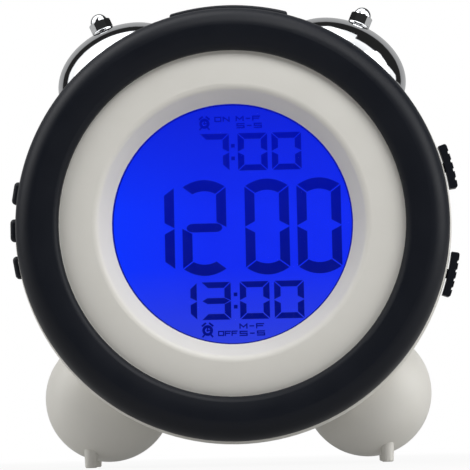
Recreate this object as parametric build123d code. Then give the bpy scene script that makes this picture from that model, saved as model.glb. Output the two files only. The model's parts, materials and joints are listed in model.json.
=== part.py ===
from build123d import *
import math
import os

# A twin bell alarm clock with a round digital display, in millimetres.
# Everything is drawn about the dial axis: x to the right, depth counted back from
# the ring's crest along y, height above the dial centre along z. finish() moves it
# onto the table.

# Fits
SEAT_GAP = 0.1                # between shaped faces that seat on each other
FIT_GAP = 0.2                 # between a piece and its pocket
SLIDE_GAP = 0.3               # round a button in its window
RUN_GAP = 0.05                # round a shaft in its bore
PAST = 1.0                    # how far a cutter runs beyond a face

# Black front ring
RING_RADIUS = 60.0
RING_WIDTH = 12.3             # outer edge to the bore
RING_FLANK = 5.5              # width of the outer round
RING_WIDEST = 7.0             # depth of the widest line
RING_DEPTH = 12.0
RING_TUCK = 0.5               # how far the rear edge draws in
RING_LIP_DROP = 0.7
RING_LIP_ROUND = 1.6
RING_WALL = 2.3

# White bezel and display
BEZEL_WIDTH = 14.4            # ring's bore to the display that shows
BEZEL_LAND = 3.6              # depth of the seat for the ring's inner edge
BEZEL_CROWN_RISE = 1.6
BEZEL_CHAMFER = 3.9           # width of the slope down to the window
BEZEL_CHAMFER_DEPTH = 5.4
BEZEL_EDGE_ROUND = 2.2
BEZEL_WALL = 1.8
BEZEL_RIB_INSET = 1.7         # rib's outside from the ring's bore
BEZEL_RIB_WIDTH = 2.0
BEZEL_RIB_HEIGHT = 1.0
WINDOW_LAP = 1.8
WINDOW_THICKNESS = 1.5
LCD_MARGIN = 2.2              # glass beyond the display that shows
LCD_THICKNESS = 2.2
BACKLIGHT_MARGIN = 0.2
BACKLIGHT_THICKNESS = 3.0
CONNECTOR_LENGTH = 44.0
CONNECTOR_WIDTH = 1.6
FRAME_LAP = 2.3               # frame's edge beyond the ring's bore
FRAME_DEPTH = 4.0
COLLAR_GAP = 0.8              # between the frame's collar and the bezel's rib
COLLAR_WALL = 1.2             # beside the corners of the glass
BOARD_MARGIN = 1.0            # board inside the frame's edge
BOARD_THICKNESS = 1.6
BOARD_SCREW_INSET = 1.3       # screws inside the ring's bore
BOARD_SCREW_BITE = 6.0
BOSS_RADIUS = 3.0
LED_SIZE = 3.0

# Parts on the back of the board: size, height, then place from the dial axis
CHIP_SIZE = 14.0
CHIP_HEIGHT = 1.6
CHIP_X = -17.0
CHIP_LEVEL = -5.0
CRYSTAL_LENGTH = 10.0
CRYSTAL_WIDTH = 4.0
CRYSTAL_HEIGHT = 3.4
CRYSTAL_X = 9.0
CRYSTAL_LEVEL = -20.0
CAPACITOR_RADIUS = 3.2
CAPACITOR_HEIGHT = 4.0
CAPACITOR_X = 20.0
CAPACITOR_LEVEL = -6.0
SOCKET_LENGTH = 12.0
SOCKET_WIDTH = 5.0
SOCKET_HEIGHT = 3.8
SOCKET_X = -24.0
SOCKET_LEVEL = 18.5

# Case
RIM_STEP = 0.8                # rim beyond the ring
RIM_WALL = 2.6
RIM_DEPTH = 8.0
RIM_FRONT_ROUND = 1.5
RIM_REAR_ROUND = 1.6
RIM_LEDGE = 7.8               # rim's edge to the drum
CASE_WALL = 2.0
BEZEL_SCREW_INSET = 7.2       # screws inside the rim's edge
COVER_DEPTH = 14.0
COVER_ROUND = 9.0
COVER_LIP = 2.5
CASE_SCREW_INSET = 6.8        # screws inside the drum's outside
CASE_SCREW_ANGLE = 24.0
CASE_BOSS_RADIUS = 3.2
CASE_BOSS_LENGTH = 11.0
COUNTERBORE_RADIUS = 2.9
TOWER_WALL = 1.4              # round a screw's boss in the cover
WEB_THICKNESS = 2.4

# Screws
SCREW_RADIUS = 1.2
SCREW_HEAD_RADIUS = 2.3
SCREW_HEAD_HEIGHT = 1.4
SCREW_SOCKET_DEPTH = 0.6

# Batteries
CELL_RADIUS = 7.25
CELL_LENGTH = 50.5
CELL_PITCH = 15.0
CELL_MIDDLE = -6.0            # height of the middle cell
CELL_NIPPLE_RADIUS = 2.6
CELL_NIPPLE_LENGTH = 1.1
CONTACT_SPACE = 3.2           # between a cell's end and the tray's end wall
CONTACT_THICKNESS = 0.4
CONTACT_WIDTH = 6.0
CONTACT_REACH = 4.0
TRAY_WALL = 2.2
DOOR_LAP = 0.9
DOOR_CORNER = 3.0
DOOR_NOTCH_WIDTH = 14.0
DOOR_NOTCH_DEPTH = 0.9
DOOR_NOTCH_HEIGHT = 4.2
DOOR_RIB_PITCH = 3.0
DOOR_RIB_WIDTH = 1.2
DOOR_RIB_DEPTH = 0.5
DOOR_RIBS = 3

# Bells
BELL_TILT = 23.5
BELL_ANGLE = 34.0             # centre of the rim plane, from the top
BELL_STAND = 3.24             # and out from the drum
BELL_GAP = 1.7                # behind the rim
BELL_INSET = 6.5              # axis in front of the cover's seam
BELL_RADIUS = 19.8
BELL_RISE = 14.3
BELL_WALL = 1.0
BELL_SEAT_RADIUS = 3.3        # flat at the apex
POST_RADIUS = 3.0
STUD_RADIUS = 1.5
POST_FOOT = 1.5               # post's foot below the rim plane
POST_BOSS_RADIUS = 4.5
POST_BOSS_LENGTH = 8.0
POST_NUT_WIDTH = 5.5
POST_NUT_HEIGHT = 2.4
CAP_NUT_WIDTH = 5.6
CAP_NUT_HEX = 2.6
CAP_NUT_COLLAR = 0.7
CAP_NUT_HEIGHT = 5.6

# Feet
FOOT_INSET_X = 16.0           # ball centre inside the drum's side
FOOT_RISE = 6.0               # and above the drum's bottom
FOOT_INSET = 11.0             # in front of the cover's seam
FOOT_RADIUS = 18.2
FOOT_WALL = 2.6
PEG_OUT = 4.9                 # peg beyond the ball's centre
PEG_SHOW = 1.5                # peg below the ball
PEG_SPREAD = 8.0
PEG_RADIUS = 1.7
PEG_TOP_RADIUS = 2.0
FOOT_BOSS_RADIUS = 4.0
FOOT_SCREW_RADIUS = 1.5
FOOT_SCREW_HEAD_RADIUS = 2.8
FOOT_SCREW_HEAD_HEIGHT = 2.0
FOOT_SCREW_BITE = 9.0

# Snooze bar
SNOOZE_HALF = 16.5
SNOOZE_FRONT = 12.4
SNOOZE_REAR = 24.3
SNOOZE_STEP = 1.0             # bar's front edge beyond the rim
SNOOZE_RISE = 1.5             # how much higher the bar's top is at the back
SNOOZE_TRAVEL = 1.5
SNOOZE_LIFT = 1.8             # bar's bottom edge above its pocket's floor
SNOOZE_WALL = 1.7
SNOOZE_ROOF = 2.0
SNOOZE_TAB = 1.6
SNOOZE_TAB_HEIGHT = 1.2
SNOOZE_EDGE_ROUND = 0.8
BLOCK_WALL = 1.8
BLOCK_INSET = 0.5             # pocket's house inside the rim's edge
POCKET_DEPTH = 6.4            # from the rim's edge

# Set buttons on the left
BUTTON_STEP = 9.8             # degrees between buttons
BUTTON_LENGTH = 6.4
BUTTON_WIDTH = 3.8
BUTTON_STAND = 1.4            # beyond the rim
BUTTON_TRAVEL = 0.7
BUTTON_FLANGE = 0.8
BUTTON_FLANGE_THICKNESS = 1.1
SIDE_BOARD_INSET = 8.5        # inside the rim's edge
SIDE_BOARD_THICKNESS = 1.0
SIDE_BOARD_GAP = 0.8          # behind the rim's front edge
BUTTON_STEM_RADIUS = 1.1
BUTTON_CORNER_ROUND = 1.4
BUTTON_EDGE_ROUND = 1.1
TACT_TIP_RADIUS = 1.0
TACT_SIZE = 4.2
TACT_HEIGHT = 1.8
TACT_TIP = 0.8

# Alarm sliders on the right
SLIDER_ANGLE = 14.0
SLIDER_HALF_ANGLE = 5.75
SLIDER_WIDTH = 4.4
SLIDER_STAND = 2.7            # beyond the rim
SLIDER_CLEAR = 0.45           # under the cap
SLIDER_TRAVEL = 2.6
SLIDER_RIDGES = 4
SLIDER_END_ROUND = 0.7
SLIDER_GROOVE = 0.35
SLIDER_GROOVE_WIDTH = 0.9
STEM_LENGTH = 2.6
STEM_WIDTH = 1.6
SWITCH_LENGTH = 9.6
SWITCH_WIDTH = 4.8
SWITCH_HEIGHT = 3.4

# Ringer
HAMMER_PIVOT_DROP = 15.0      # below the top of the drum's bore
MOTOR_DROP = 8.5              # below the pivot
HAMMER_HEAD_STAND = 4.6       # above the drum
HAMMER_SWING = 7.5            # degrees each way
HAMMER_PIN_RADIUS = 1.25
HAMMER_PIN_TAIL = 2.4         # behind the arm
PIN_CLIP_GAP = 1.2
PIN_CLIP_WIDTH = 1.2
PIN_CLIP_THICKNESS = 0.7
HAMMER_HUB_RADIUS = 3.2
HAMMER_THICKNESS = 2.0
HAMMER_ARM_WIDTH = 3.2
HAMMER_HEAD_RADIUS = 3.0
HAMMER_GAP = 2.9              # from the head to a bell's edge
HAMMER_SLOT_HALF = 6.0
HAMMER_SLOT_GAP = 1.0
BRACKET_INSET = 4.0           # in front of the bells' axes
BRACKET_THICKNESS = 1.0
BRACKET_WIDTH = 6.6
BRACKET_CORNER = 3.0
BRACKET_SCREW_X = 15.0
BRACKET_SCREW_DROP = 7.8      # below the top of the drum's bore
BRACKET_BOSS_LENGTH = 7.5
MOTOR_RADIUS = 7.5
MOTOR_LENGTH = 12.4
SHAFT_RADIUS = 0.75
CRANK_RADIUS = 3.6
CRANK_THICKNESS = 1.4
CRANK_PIN_RADIUS = 0.9
FORK_GAP = 0.35
FORK_WALL = 1.5

# Radii, from the ring inwards to the display and outwards to the rim
RING_BORE = RING_RADIUS - RING_WIDTH
RING_CREST_RADIUS = RING_RADIUS - RING_FLANK
DISPLAY_RADIUS = RING_BORE - BEZEL_WIDTH
BEZEL_CROWN_RADIUS = DISPLAY_RADIUS + BEZEL_CHAMFER
BEZEL_RIB_RADIUS = RING_BORE - BEZEL_RIB_INSET
COLLAR_RADIUS = BEZEL_RIB_RADIUS - BEZEL_RIB_WIDTH - COLLAR_GAP
LCD_SIZE = 2 * (DISPLAY_RADIUS + LCD_MARGIN)
LCD_CORNER = LCD_SIZE / 2 - math.sqrt((COLLAR_RADIUS - COLLAR_WALL) ** 2 - (LCD_SIZE / 2) ** 2)
BACKLIGHT_HEIGHT = 2 * (DISPLAY_RADIUS + BACKLIGHT_MARGIN)
FRAME_RADIUS = RING_BORE + FRAME_LAP
BOARD_RADIUS = FRAME_RADIUS - BOARD_MARGIN
BOARD_SCREW_RADIUS = RING_BORE - BOARD_SCREW_INSET
RIM_RADIUS = RING_RADIUS + RIM_STEP
RIM_BORE = RIM_RADIUS - RIM_WALL
DRUM_RADIUS = RIM_RADIUS - RIM_LEDGE
DRUM_BORE = DRUM_RADIUS - CASE_WALL
BEZEL_SCREW_RADIUS = RIM_RADIUS - BEZEL_SCREW_INSET
CASE_SCREW_RADIUS = DRUM_RADIUS - CASE_SCREW_INSET
SNOOZE_FRONT_RADIUS = RIM_RADIUS + SNOOZE_STEP
BLOCK_RADIUS = RIM_RADIUS - BLOCK_INSET
POCKET_FLOOR = RIM_RADIUS - POCKET_DEPTH
SNOOZE_BOTTOM = POCKET_FLOOR + SNOOZE_LIFT
BUTTON_TOP = RIM_RADIUS + BUTTON_STAND
SLIDER_TOP = RIM_RADIUS + SLIDER_STAND
SIDE_BOARD_RADIUS = RIM_RADIUS - SIDE_BOARD_INSET

# Stations along the depth
CASE_FRONT = RING_DEPTH
FLANGE_FRONT = CASE_FRONT - BEZEL_WALL
CROWN_DEPTH = BEZEL_LAND - BEZEL_CROWN_RISE
WINDOW_FRONT = CROWN_DEPTH + BEZEL_CHAMFER_DEPTH
WINDOW_BACK = WINDOW_FRONT + WINDOW_THICKNESS
FRAME_FRONT = CASE_FRONT + BEZEL_RIB_HEIGHT
LCD_FRONT = WINDOW_BACK + FIT_GAP
LCD_BACK = LCD_FRONT + LCD_THICKNESS
BOARD_FRONT = FRAME_FRONT + FRAME_DEPTH
BOARD_BACK = BOARD_FRONT + BOARD_THICKNESS
RIM_BACK = CASE_FRONT + RIM_DEPTH
SHOULDER_FRONT = RIM_BACK - CASE_WALL
BUTTON_DEPTH = (CASE_FRONT + SHOULDER_FRONT) / 2
BELL_DEPTH = RIM_BACK + BELL_GAP + BELL_RADIUS
DRUM_END = BELL_DEPTH + BELL_INSET
BODY_DEPTH = DRUM_END + COVER_DEPTH
COVER_INSIDE = BODY_DEPTH - CASE_WALL
FOOT_DEPTH = DRUM_END - FOOT_INSET
BRACKET_DEPTH = BELL_DEPTH - BRACKET_INSET

# Places about the dial axis
BELL_X = (DRUM_RADIUS + BELL_STAND) * math.sin(math.radians(BELL_ANGLE))
BELL_HEIGHT = (DRUM_RADIUS + BELL_STAND) * math.cos(math.radians(BELL_ANGLE))
HAMMER_HEAD_HALF = BELL_X - BELL_RADIUS * math.cos(math.radians(BELL_TILT)) - HAMMER_GAP
FOOT_X = DRUM_RADIUS - FOOT_INSET_X
FOOT_DROP = DRUM_RADIUS - FOOT_RISE
PEG_X = FOOT_X + PEG_OUT
AXIS_HEIGHT = FOOT_DROP + FOOT_RADIUS + PEG_SHOW
HAMMER_PIVOT = DRUM_BORE - HAMMER_PIVOT_DROP
MOTOR_HEIGHT = HAMMER_PIVOT - MOTOR_DROP
HAMMER_HEAD_HEIGHT = DRUM_RADIUS + HAMMER_HEAD_STAND
BRACKET_SCREW_HEIGHT = DRUM_BORE - BRACKET_SCREW_DROP
DIAGONALS = (45, 135, 225, 315)
CASE_SCREW_ANGLES = (
    CASE_SCREW_ANGLE,
    180 - CASE_SCREW_ANGLE,
    180 + CASE_SCREW_ANGLE,
    360 - CASE_SCREW_ANGLE,
)
CELL_HEIGHTS = (CELL_MIDDLE + CELL_PITCH, CELL_MIDDLE, CELL_MIDDLE - CELL_PITCH)
CELL_DEPTH = COVER_INSIDE - FIT_GAP - CELL_RADIUS
TRAY_HALF = CELL_LENGTH / 2 + CONTACT_SPACE
TRAY_FLOOR = CELL_DEPTH - CELL_RADIUS - FIT_GAP
TRAY_TOP = CELL_HEIGHTS[0] + CELL_RADIUS + FIT_GAP
TRAY_BOTTOM = CELL_HEIGHTS[2] - CELL_RADIUS - FIT_GAP
CRANK_THROW = (HAMMER_PIVOT - MOTOR_HEIGHT) * math.tan(math.radians(HAMMER_SWING))
HAMMER_FRONT = BELL_DEPTH - HAMMER_THICKNESS / 2
HAMMER_BACK = BELL_DEPTH + HAMMER_THICKNESS / 2
BRACKET_BACK = BRACKET_DEPTH + BRACKET_THICKNESS
CRANK_FRONT = HAMMER_FRONT - SLIDE_GAP - CRANK_THICKNESS

CENTRE_MIN = (Align.CENTER, Align.CENTER, Align.MIN)


def turned(face):
    """Spin a section, radius along x and depth along y, about the dial axis."""
    return revolve(face, axis=Axis.Y)


def outline(*corners):
    """A flat section from its corners."""
    return make_face(Polyline(*corners, close=True))


def rod(radius, start, end, x=0.0, height=0.0):
    """A round bar along the depth."""
    bar = Cylinder(radius, end - start, align=CENTRE_MIN)
    return Pos(x, start, height) * Rot(-90, 0, 0) * bar


def block(x0, x1, s0, s1, h0, h1):
    """A box from its limits."""
    middle = Pos((x0 + x1) / 2, (s0 + s1) / 2, (h0 + h1) / 2)
    return middle * Box(x1 - x0, s1 - s0, h1 - h0)


def plate(shape, start, end):
    """A front-view outline pushed back from one depth to another."""
    return extrude(Plane.XZ.offset(-start) * shape, amount=start - end)


def around(angle):
    """Turn about the dial axis, counted from the right towards the top."""
    return Rot(0, -angle, 0)


def polar(radius, angle):
    """Front-view place of a point at a radius and an angle."""
    turn = math.radians(angle)
    return radius * math.cos(turn), radius * math.sin(turn)


def screw(x, height, tip, seat, way=1, bore=SCREW_RADIUS):
    """A pan-head screw along the depth, its head on the far side of the seat."""
    near, far = sorted((seat, seat + way * SCREW_HEAD_HEIGHT))
    shank = rod(bore, min(tip, seat), max(tip, seat), x, height)
    head = rod(SCREW_HEAD_RADIUS, near, far, x, height)
    crown = head.edges().sort_by(Axis.Y)[-1 if way > 0 else 0]
    head = fillet(crown, SCREW_HEAD_HEIGHT * 0.5)
    top = seat + way * SCREW_HEAD_HEIGHT
    socket = rod(SCREW_HEAD_RADIUS * 0.3, top - SCREW_SOCKET_DEPTH, top + SCREW_SOCKET_DEPTH, x, height)
    return shank + head - socket


def bell_place(side):
    """Where a bell's axis meets its rim plane, with local z along the axis."""
    return Pos(side * BELL_X, BELL_DEPTH, BELL_HEIGHT) * Rot(0, side * BELL_TILT, 0)


def front_ring():
    crest = (RING_CREST_RADIUS, 0)
    lip = (RING_BORE + RING_LIP_ROUND, RING_LIP_DROP)
    turn = (RING_BORE, RING_LIP_DROP + RING_LIP_ROUND * 1.1)
    widest = (RING_RADIUS, RING_WIDEST)
    rear = (RING_RADIUS - RING_TUCK, RING_DEPTH)
    inner = RING_BORE + RING_WALL
    back = RING_DEPTH + 1
    flank = EllipticalCenterArc(
        (RING_CREST_RADIUS, RING_WIDEST), RING_RADIUS - RING_CREST_RADIUS, RING_WIDEST, 270,
        arc_size=90,
    )
    crown = TangentArc(crest, lip, tangent=(-1, 0))
    edge = TangentArc(lip, turn, tangent=crown % 1)
    tail = ThreePointArc(
        widest, (RING_RADIUS - RING_TUCK * 0.25, (RING_WIDEST + RING_DEPTH) / 2), rear
    )
    closing = Polyline(turn, (RING_BORE, BEZEL_LAND), (inner, BEZEL_LAND), (inner, RING_DEPTH), rear)
    solid = make_face([flank, crown, edge, closing, tail])
    hollow_arc = EllipticalCenterArc(
        (RING_CREST_RADIUS, RING_WIDEST),
        RING_RADIUS - RING_CREST_RADIUS - RING_WALL,
        RING_WIDEST - RING_WALL,
        270,
        arc_size=90,
    )
    top = (RING_CREST_RADIUS, RING_WALL)
    side = (RING_RADIUS - RING_WALL, RING_WIDEST)
    hollow_line = Polyline(
        top,
        (inner, RING_LIP_DROP + RING_WALL * 1.2),
        (inner, back),
        (RING_RADIUS - RING_TUCK - RING_WALL, back),
        (RING_RADIUS - RING_TUCK - RING_WALL, RING_DEPTH),
        side,
    )
    hollow = make_face([hollow_arc, hollow_line])
    return turned(solid - hollow)


def dial_bezel():
    crown = (BEZEL_CROWN_RADIUS, CROWN_DEPTH)
    land = (RING_BORE - FIT_GAP, BEZEL_LAND)
    under = BEZEL_LAND + BEZEL_WALL
    step = RING_BORE + RING_WALL + FIT_GAP
    outer = RING_RADIUS - RING_TUCK - RING_WALL - FIT_GAP
    rib_in = BEZEL_RIB_RADIUS - BEZEL_RIB_WIDTH
    slope = TangentArc(crown, land, tangent=(1, 0))
    rest = Polyline(
        land,
        (step, BEZEL_LAND),
        (step, FLANGE_FRONT),
        (outer, FLANGE_FRONT),
        (outer, CASE_FRONT),
        (step - BEZEL_WALL, CASE_FRONT),
        (step - BEZEL_WALL, under),
        (BEZEL_RIB_RADIUS, under),
        (BEZEL_RIB_RADIUS, FRAME_FRONT),
        (rib_in, FRAME_FRONT),
        (rib_in, under),
        (BEZEL_CROWN_RADIUS + BEZEL_WALL, CROWN_DEPTH + BEZEL_WALL),
        (DISPLAY_RADIUS + WINDOW_LAP + BEZEL_WALL, WINDOW_FRONT),
        (DISPLAY_RADIUS, WINDOW_FRONT),
        crown,
    )
    section = make_face([slope, rest])
    edge = section.vertices().sort_by_distance(crown)[0]
    body = turned(fillet(edge, BEZEL_EDGE_ROUND))
    hole_end = FRAME_FRONT - BOARD_SCREW_BITE - BEZEL_WALL / 4
    for angle in DIAGONALS:
        x, height = polar(BOARD_SCREW_RADIUS, angle)
        body += rod(BOSS_RADIUS, BEZEL_LAND + BEZEL_WALL / 2, FRAME_FRONT, x, height)
        body -= rod(SCREW_RADIUS, hole_end, FRAME_FRONT + PAST, x, height)
        x, height = polar(BEZEL_SCREW_RADIUS, angle)
        body -= rod(SCREW_RADIUS + FIT_GAP, FLANGE_FRONT - PAST, CASE_FRONT + PAST, x, height)
    return body


def bezel_screws():
    tip = SHOULDER_FRONT - 1
    return [
        screw(*polar(BEZEL_SCREW_RADIUS, angle), tip, FLANGE_FRONT, way=-1) for angle in DIAGONALS
    ]


def display_window():
    disc = rod(DISPLAY_RADIUS + WINDOW_LAP, WINDOW_FRONT, WINDOW_BACK)
    return chamfer(disc.edges(), WINDOW_THICKNESS / 8)


def lcd_outline(grow=0.0):
    sheet = Rectangle(LCD_SIZE + 2 * grow, LCD_SIZE + 2 * grow)
    return chamfer(sheet.vertices(), LCD_CORNER)


def lcd_panel():
    return plate(lcd_outline(), LCD_FRONT, LCD_BACK)


def backlight_panel():
    sheet = lcd_outline() & Rectangle(LCD_SIZE, BACKLIGHT_HEIGHT)
    start = LCD_BACK + FIT_GAP
    return plate(sheet, start, start + BACKLIGHT_THICKNESS)


def backlight_leds():
    start = LCD_BACK + FIT_GAP + BACKLIGHT_THICKNESS + FIT_GAP / 2
    half = LED_SIZE / 2
    reach = LCD_SIZE / 4
    lamps = []
    for x in (-reach, reach):
        for height in (-reach, reach):
            lamps.append(
                block(x - half, x + half, start, BOARD_FRONT, height - half / 2, height + half / 2)
            )
    return lamps


def elastomer_connectors():
    edge = (BACKLIGHT_HEIGHT + LCD_SIZE) / 4
    half = CONNECTOR_WIDTH / 2
    reach = CONNECTOR_LENGTH / 2
    return [
        block(-reach, reach, LCD_BACK, BOARD_FRONT, side * edge - half, side * edge + half)
        for side in (-1, 1)
    ]


def display_frame():
    body = rod(FRAME_RADIUS, FRAME_FRONT, BOARD_FRONT)
    body += rod(COLLAR_RADIUS, LCD_FRONT + FIT_GAP, FRAME_FRONT)
    body -= plate(lcd_outline(FIT_GAP), LCD_FRONT, BOARD_FRONT + PAST)
    for angle in DIAGONALS:
        x, height = polar(BOARD_SCREW_RADIUS, angle)
        body -= rod(SCREW_RADIUS + FIT_GAP / 2, FRAME_FRONT - PAST, BOARD_FRONT + PAST, x, height)
    return body


def main_board():
    body = rod(BOARD_RADIUS, BOARD_FRONT, BOARD_BACK)
    for angle in DIAGONALS:
        x, height = polar(BOARD_SCREW_RADIUS, angle)
        body -= rod(SCREW_RADIUS + FIT_GAP / 2, BOARD_FRONT - PAST, BOARD_BACK + PAST, x, height)
    return body


def board_components():
    def part(x, level, length, width, height):
        return block(
            x - length / 2, x + length / 2, BOARD_BACK, BOARD_BACK + height, level - width / 2,
            level + width / 2,
        )

    chip = part(CHIP_X, CHIP_LEVEL, CHIP_SIZE, CHIP_SIZE, CHIP_HEIGHT)
    crystal = part(CRYSTAL_X, CRYSTAL_LEVEL, CRYSTAL_LENGTH, CRYSTAL_WIDTH, CRYSTAL_HEIGHT)
    can_end = BOARD_BACK + CAPACITOR_HEIGHT
    capacitor = rod(CAPACITOR_RADIUS, BOARD_BACK, can_end, CAPACITOR_X, CAPACITOR_LEVEL)
    socket = part(SOCKET_X, SOCKET_LEVEL, SOCKET_LENGTH, SOCKET_WIDTH, SOCKET_HEIGHT)
    return [chip, crystal, capacitor, socket]


def board_screws():
    tip = FRAME_FRONT - BOARD_SCREW_BITE
    return [screw(*polar(BOARD_SCREW_RADIUS, angle), tip, BOARD_BACK) for angle in DIAGONALS]


def case_section(grow=0.0):
    """The outside of rim and drum as one solid section, grown all round."""
    rim = RIM_RADIUS + grow
    drum = DRUM_RADIUS + grow
    shoulder = RIM_BACK + grow
    section = outline(
        (0, CASE_FRONT), (rim, CASE_FRONT), (rim, shoulder), (drum, shoulder), (drum, DRUM_END),
        (0, DRUM_END),
    )
    corner = section.vertices().sort_by_distance((rim, shoulder))[0]
    return fillet(corner, RIM_REAR_ROUND)


def slider_slot(side, start, end, half_width):
    """A straight slot along a slider's travel, from one radius to another."""
    half = STEM_LENGTH / 2 + SLIDE_GAP
    low, high = sorted((-half * side, (half + SLIDER_TRAVEL) * side))
    slot = block(start, end, BUTTON_DEPTH - half_width, BUTTON_DEPTH + half_width, -high, -low)
    return around(side * SLIDER_ANGLE) * slot


def main_case():
    body = turned(case_section())
    front = body.edges().filter_by(GeomType.CIRCLE).sort_by_distance((RIM_RADIUS, CASE_FRONT, 0))[0]
    body = fillet(front, RIM_FRONT_ROUND)
    pocket_rear = SNOOZE_REAR + SLIDE_GAP
    pocket_half = SNOOZE_HALF + SLIDE_GAP
    house = rod(BLOCK_RADIUS, RIM_BACK - PAST, pocket_rear + BLOCK_WALL)
    house_half = pocket_half + BLOCK_WALL
    house &= block(-house_half, house_half, 0, BODY_DEPTH, 0, BLOCK_RADIUS + PAST)
    body += house
    hollow = outline(
        (0, CASE_FRONT - PAST), (RIM_BORE, CASE_FRONT - PAST), (RIM_BORE, SHOULDER_FRONT),
        (DRUM_BORE, SHOULDER_FRONT), (DRUM_BORE, DRUM_END + PAST), (0, DRUM_END + PAST),
    )
    body -= turned(hollow)
    for side in (-1, 1):
        stand = Cylinder(POST_BOSS_RADIUS, POST_BOSS_LENGTH, align=CENTRE_MIN)
        body += bell_place(side) * Pos(0, 0, -POST_FOOT - POST_BOSS_LENGTH) * stand
        hole = Cylinder(STUD_RADIUS + RUN_GAP, 4 * POST_BOSS_LENGTH)
        body -= bell_place(side) * Pos(0, 0, -POST_FOOT) * hole
    for angle in DIAGONALS:
        x, height = polar(BEZEL_SCREW_RADIUS, angle)
        body += rod(BOSS_RADIUS, CASE_FRONT, SHOULDER_FRONT, x, height)
        body -= rod(SCREW_RADIUS, CASE_FRONT - PAST, SHOULDER_FRONT, x, height)
    boss_start = DRUM_END - CASE_BOSS_LENGTH
    web_half = WEB_THICKNESS / 2
    for angle in CASE_SCREW_ANGLES:
        boss = rod(CASE_BOSS_RADIUS, boss_start, DRUM_END, CASE_SCREW_RADIUS)
        web = block(
            CASE_SCREW_RADIUS, DRUM_BORE + CASE_WALL / 2, boss_start, DRUM_END - COVER_LIP - FIT_GAP,
            -web_half, web_half,
        )
        hole = rod(SCREW_RADIUS, boss_start + SCREW_RADIUS, DRUM_END + PAST, CASE_SCREW_RADIUS)
        body += around(angle) * (boss + web)
        body -= around(angle) * hole
    # Room for the cover's lip
    lip_space = rod(DRUM_BORE, DRUM_END - COVER_LIP - FIT_GAP, DRUM_END + PAST)
    body -= lip_space - rod(DRUM_BORE - CASE_WALL - 2 * FIT_GAP, 0, BODY_DEPTH)
    bracket_start = BRACKET_DEPTH - BRACKET_BOSS_LENGTH
    roof = math.sqrt(DRUM_BORE**2 - BRACKET_SCREW_X**2) + CASE_WALL / 2
    for side in (-1, 1):
        x = side * BRACKET_SCREW_X
        body += rod(BOSS_RADIUS, bracket_start, BRACKET_DEPTH, x, BRACKET_SCREW_HEIGHT)
        body += block(
            x - web_half, x + web_half, bracket_start, BRACKET_DEPTH - FIT_GAP, BRACKET_SCREW_HEIGHT, roof
        )
        body -= rod(
            SCREW_RADIUS, bracket_start + SCREW_RADIUS, BRACKET_DEPTH + PAST, x, BRACKET_SCREW_HEIGHT
        )
    # The snooze pocket, open to the front through the rim
    body -= block(
        -pocket_half, pocket_half, CASE_FRONT - PAST, pocket_rear, POCKET_FLOOR, RIM_RADIUS + PAST
    )
    # Windows for the buttons and slots for the sliders
    for step in (-1, 0, 1):
        window = block(
            RIM_BORE - PAST, RIM_RADIUS + PAST,
            BUTTON_DEPTH - BUTTON_WIDTH / 2 - SLIDE_GAP, BUTTON_DEPTH + BUTTON_WIDTH / 2 + SLIDE_GAP,
            -BUTTON_LENGTH / 2 - SLIDE_GAP, BUTTON_LENGTH / 2 + SLIDE_GAP,
        )
        body -= around(180 + step * BUTTON_STEP) * window
    for side in (-1, 1):
        body -= slider_slot(side, RIM_BORE - PAST, RIM_RADIUS + PAST, STEM_WIDTH / 2 + SLIDE_GAP)
    # The slot that the hammer swings in
    body -= block(
        -HAMMER_SLOT_HALF, HAMMER_SLOT_HALF, HAMMER_FRONT - HAMMER_SLOT_GAP,
        HAMMER_BACK + HAMMER_SLOT_GAP, DRUM_BORE - CASE_WALL, DRUM_RADIUS + PAST,
    )
    for side in (-1, 1):
        body -= foot_axis(side) * Cylinder(FOOT_SCREW_RADIUS + FIT_GAP, 6 * CASE_WALL)
    return body


def cover_section(grow):
    """The outside of the cover, shrunk by a wall."""
    radius = DRUM_RADIUS + grow
    back = BODY_DEPTH + grow
    section = outline((0, DRUM_END), (radius, DRUM_END), (radius, back), (0, back))
    corner = section.vertices().sort_by_distance((radius, back))[0]
    return fillet(corner, COVER_ROUND + grow)


def door_shape(grow):
    low = TRAY_BOTTOM - DOOR_LAP - grow
    high = TRAY_TOP + DOOR_LAP + grow
    half = TRAY_HALF + DOOR_LAP + grow
    return Pos(0, (low + high) / 2) * RectangleRounded(2 * half, high - low, DOOR_CORNER + grow)


def back_cover():
    shell = turned(cover_section(0))
    body = shell - turned(cover_section(-CASE_WALL))
    lip = rod(DRUM_BORE - FIT_GAP, DRUM_END - COVER_LIP, DRUM_END + CASE_WALL)
    body += lip - rod(DRUM_BORE - CASE_WALL, 0, BODY_DEPTH)
    for angle in CASE_SCREW_ANGLES:
        tower = rod(CASE_BOSS_RADIUS + TOWER_WALL, DRUM_END, BODY_DEPTH, CASE_SCREW_RADIUS)
        body += around(angle) * tower & shell
    for angle in CASE_SCREW_ANGLES:
        notch = rod(CASE_BOSS_RADIUS + FIT_GAP * 2, 0, DRUM_END, CASE_SCREW_RADIUS)
        bore = rod(SCREW_RADIUS + FIT_GAP, 0, BODY_DEPTH, CASE_SCREW_RADIUS)
        sink = rod(COUNTERBORE_RADIUS, DRUM_END + CASE_WALL, BODY_DEPTH + PAST, CASE_SCREW_RADIUS)
        body -= around(angle) * (notch + bore + sink)
    body -= plate(door_shape(FIT_GAP), COVER_INSIDE - PAST, BODY_DEPTH + PAST)
    return body


def case_screws():
    seat = DRUM_END + CASE_WALL
    tip = DRUM_END - CASE_BOSS_LENGTH + CASE_WALL
    return [screw(*polar(CASE_SCREW_RADIUS, angle), tip, seat) for angle in CASE_SCREW_ANGLES]


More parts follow.
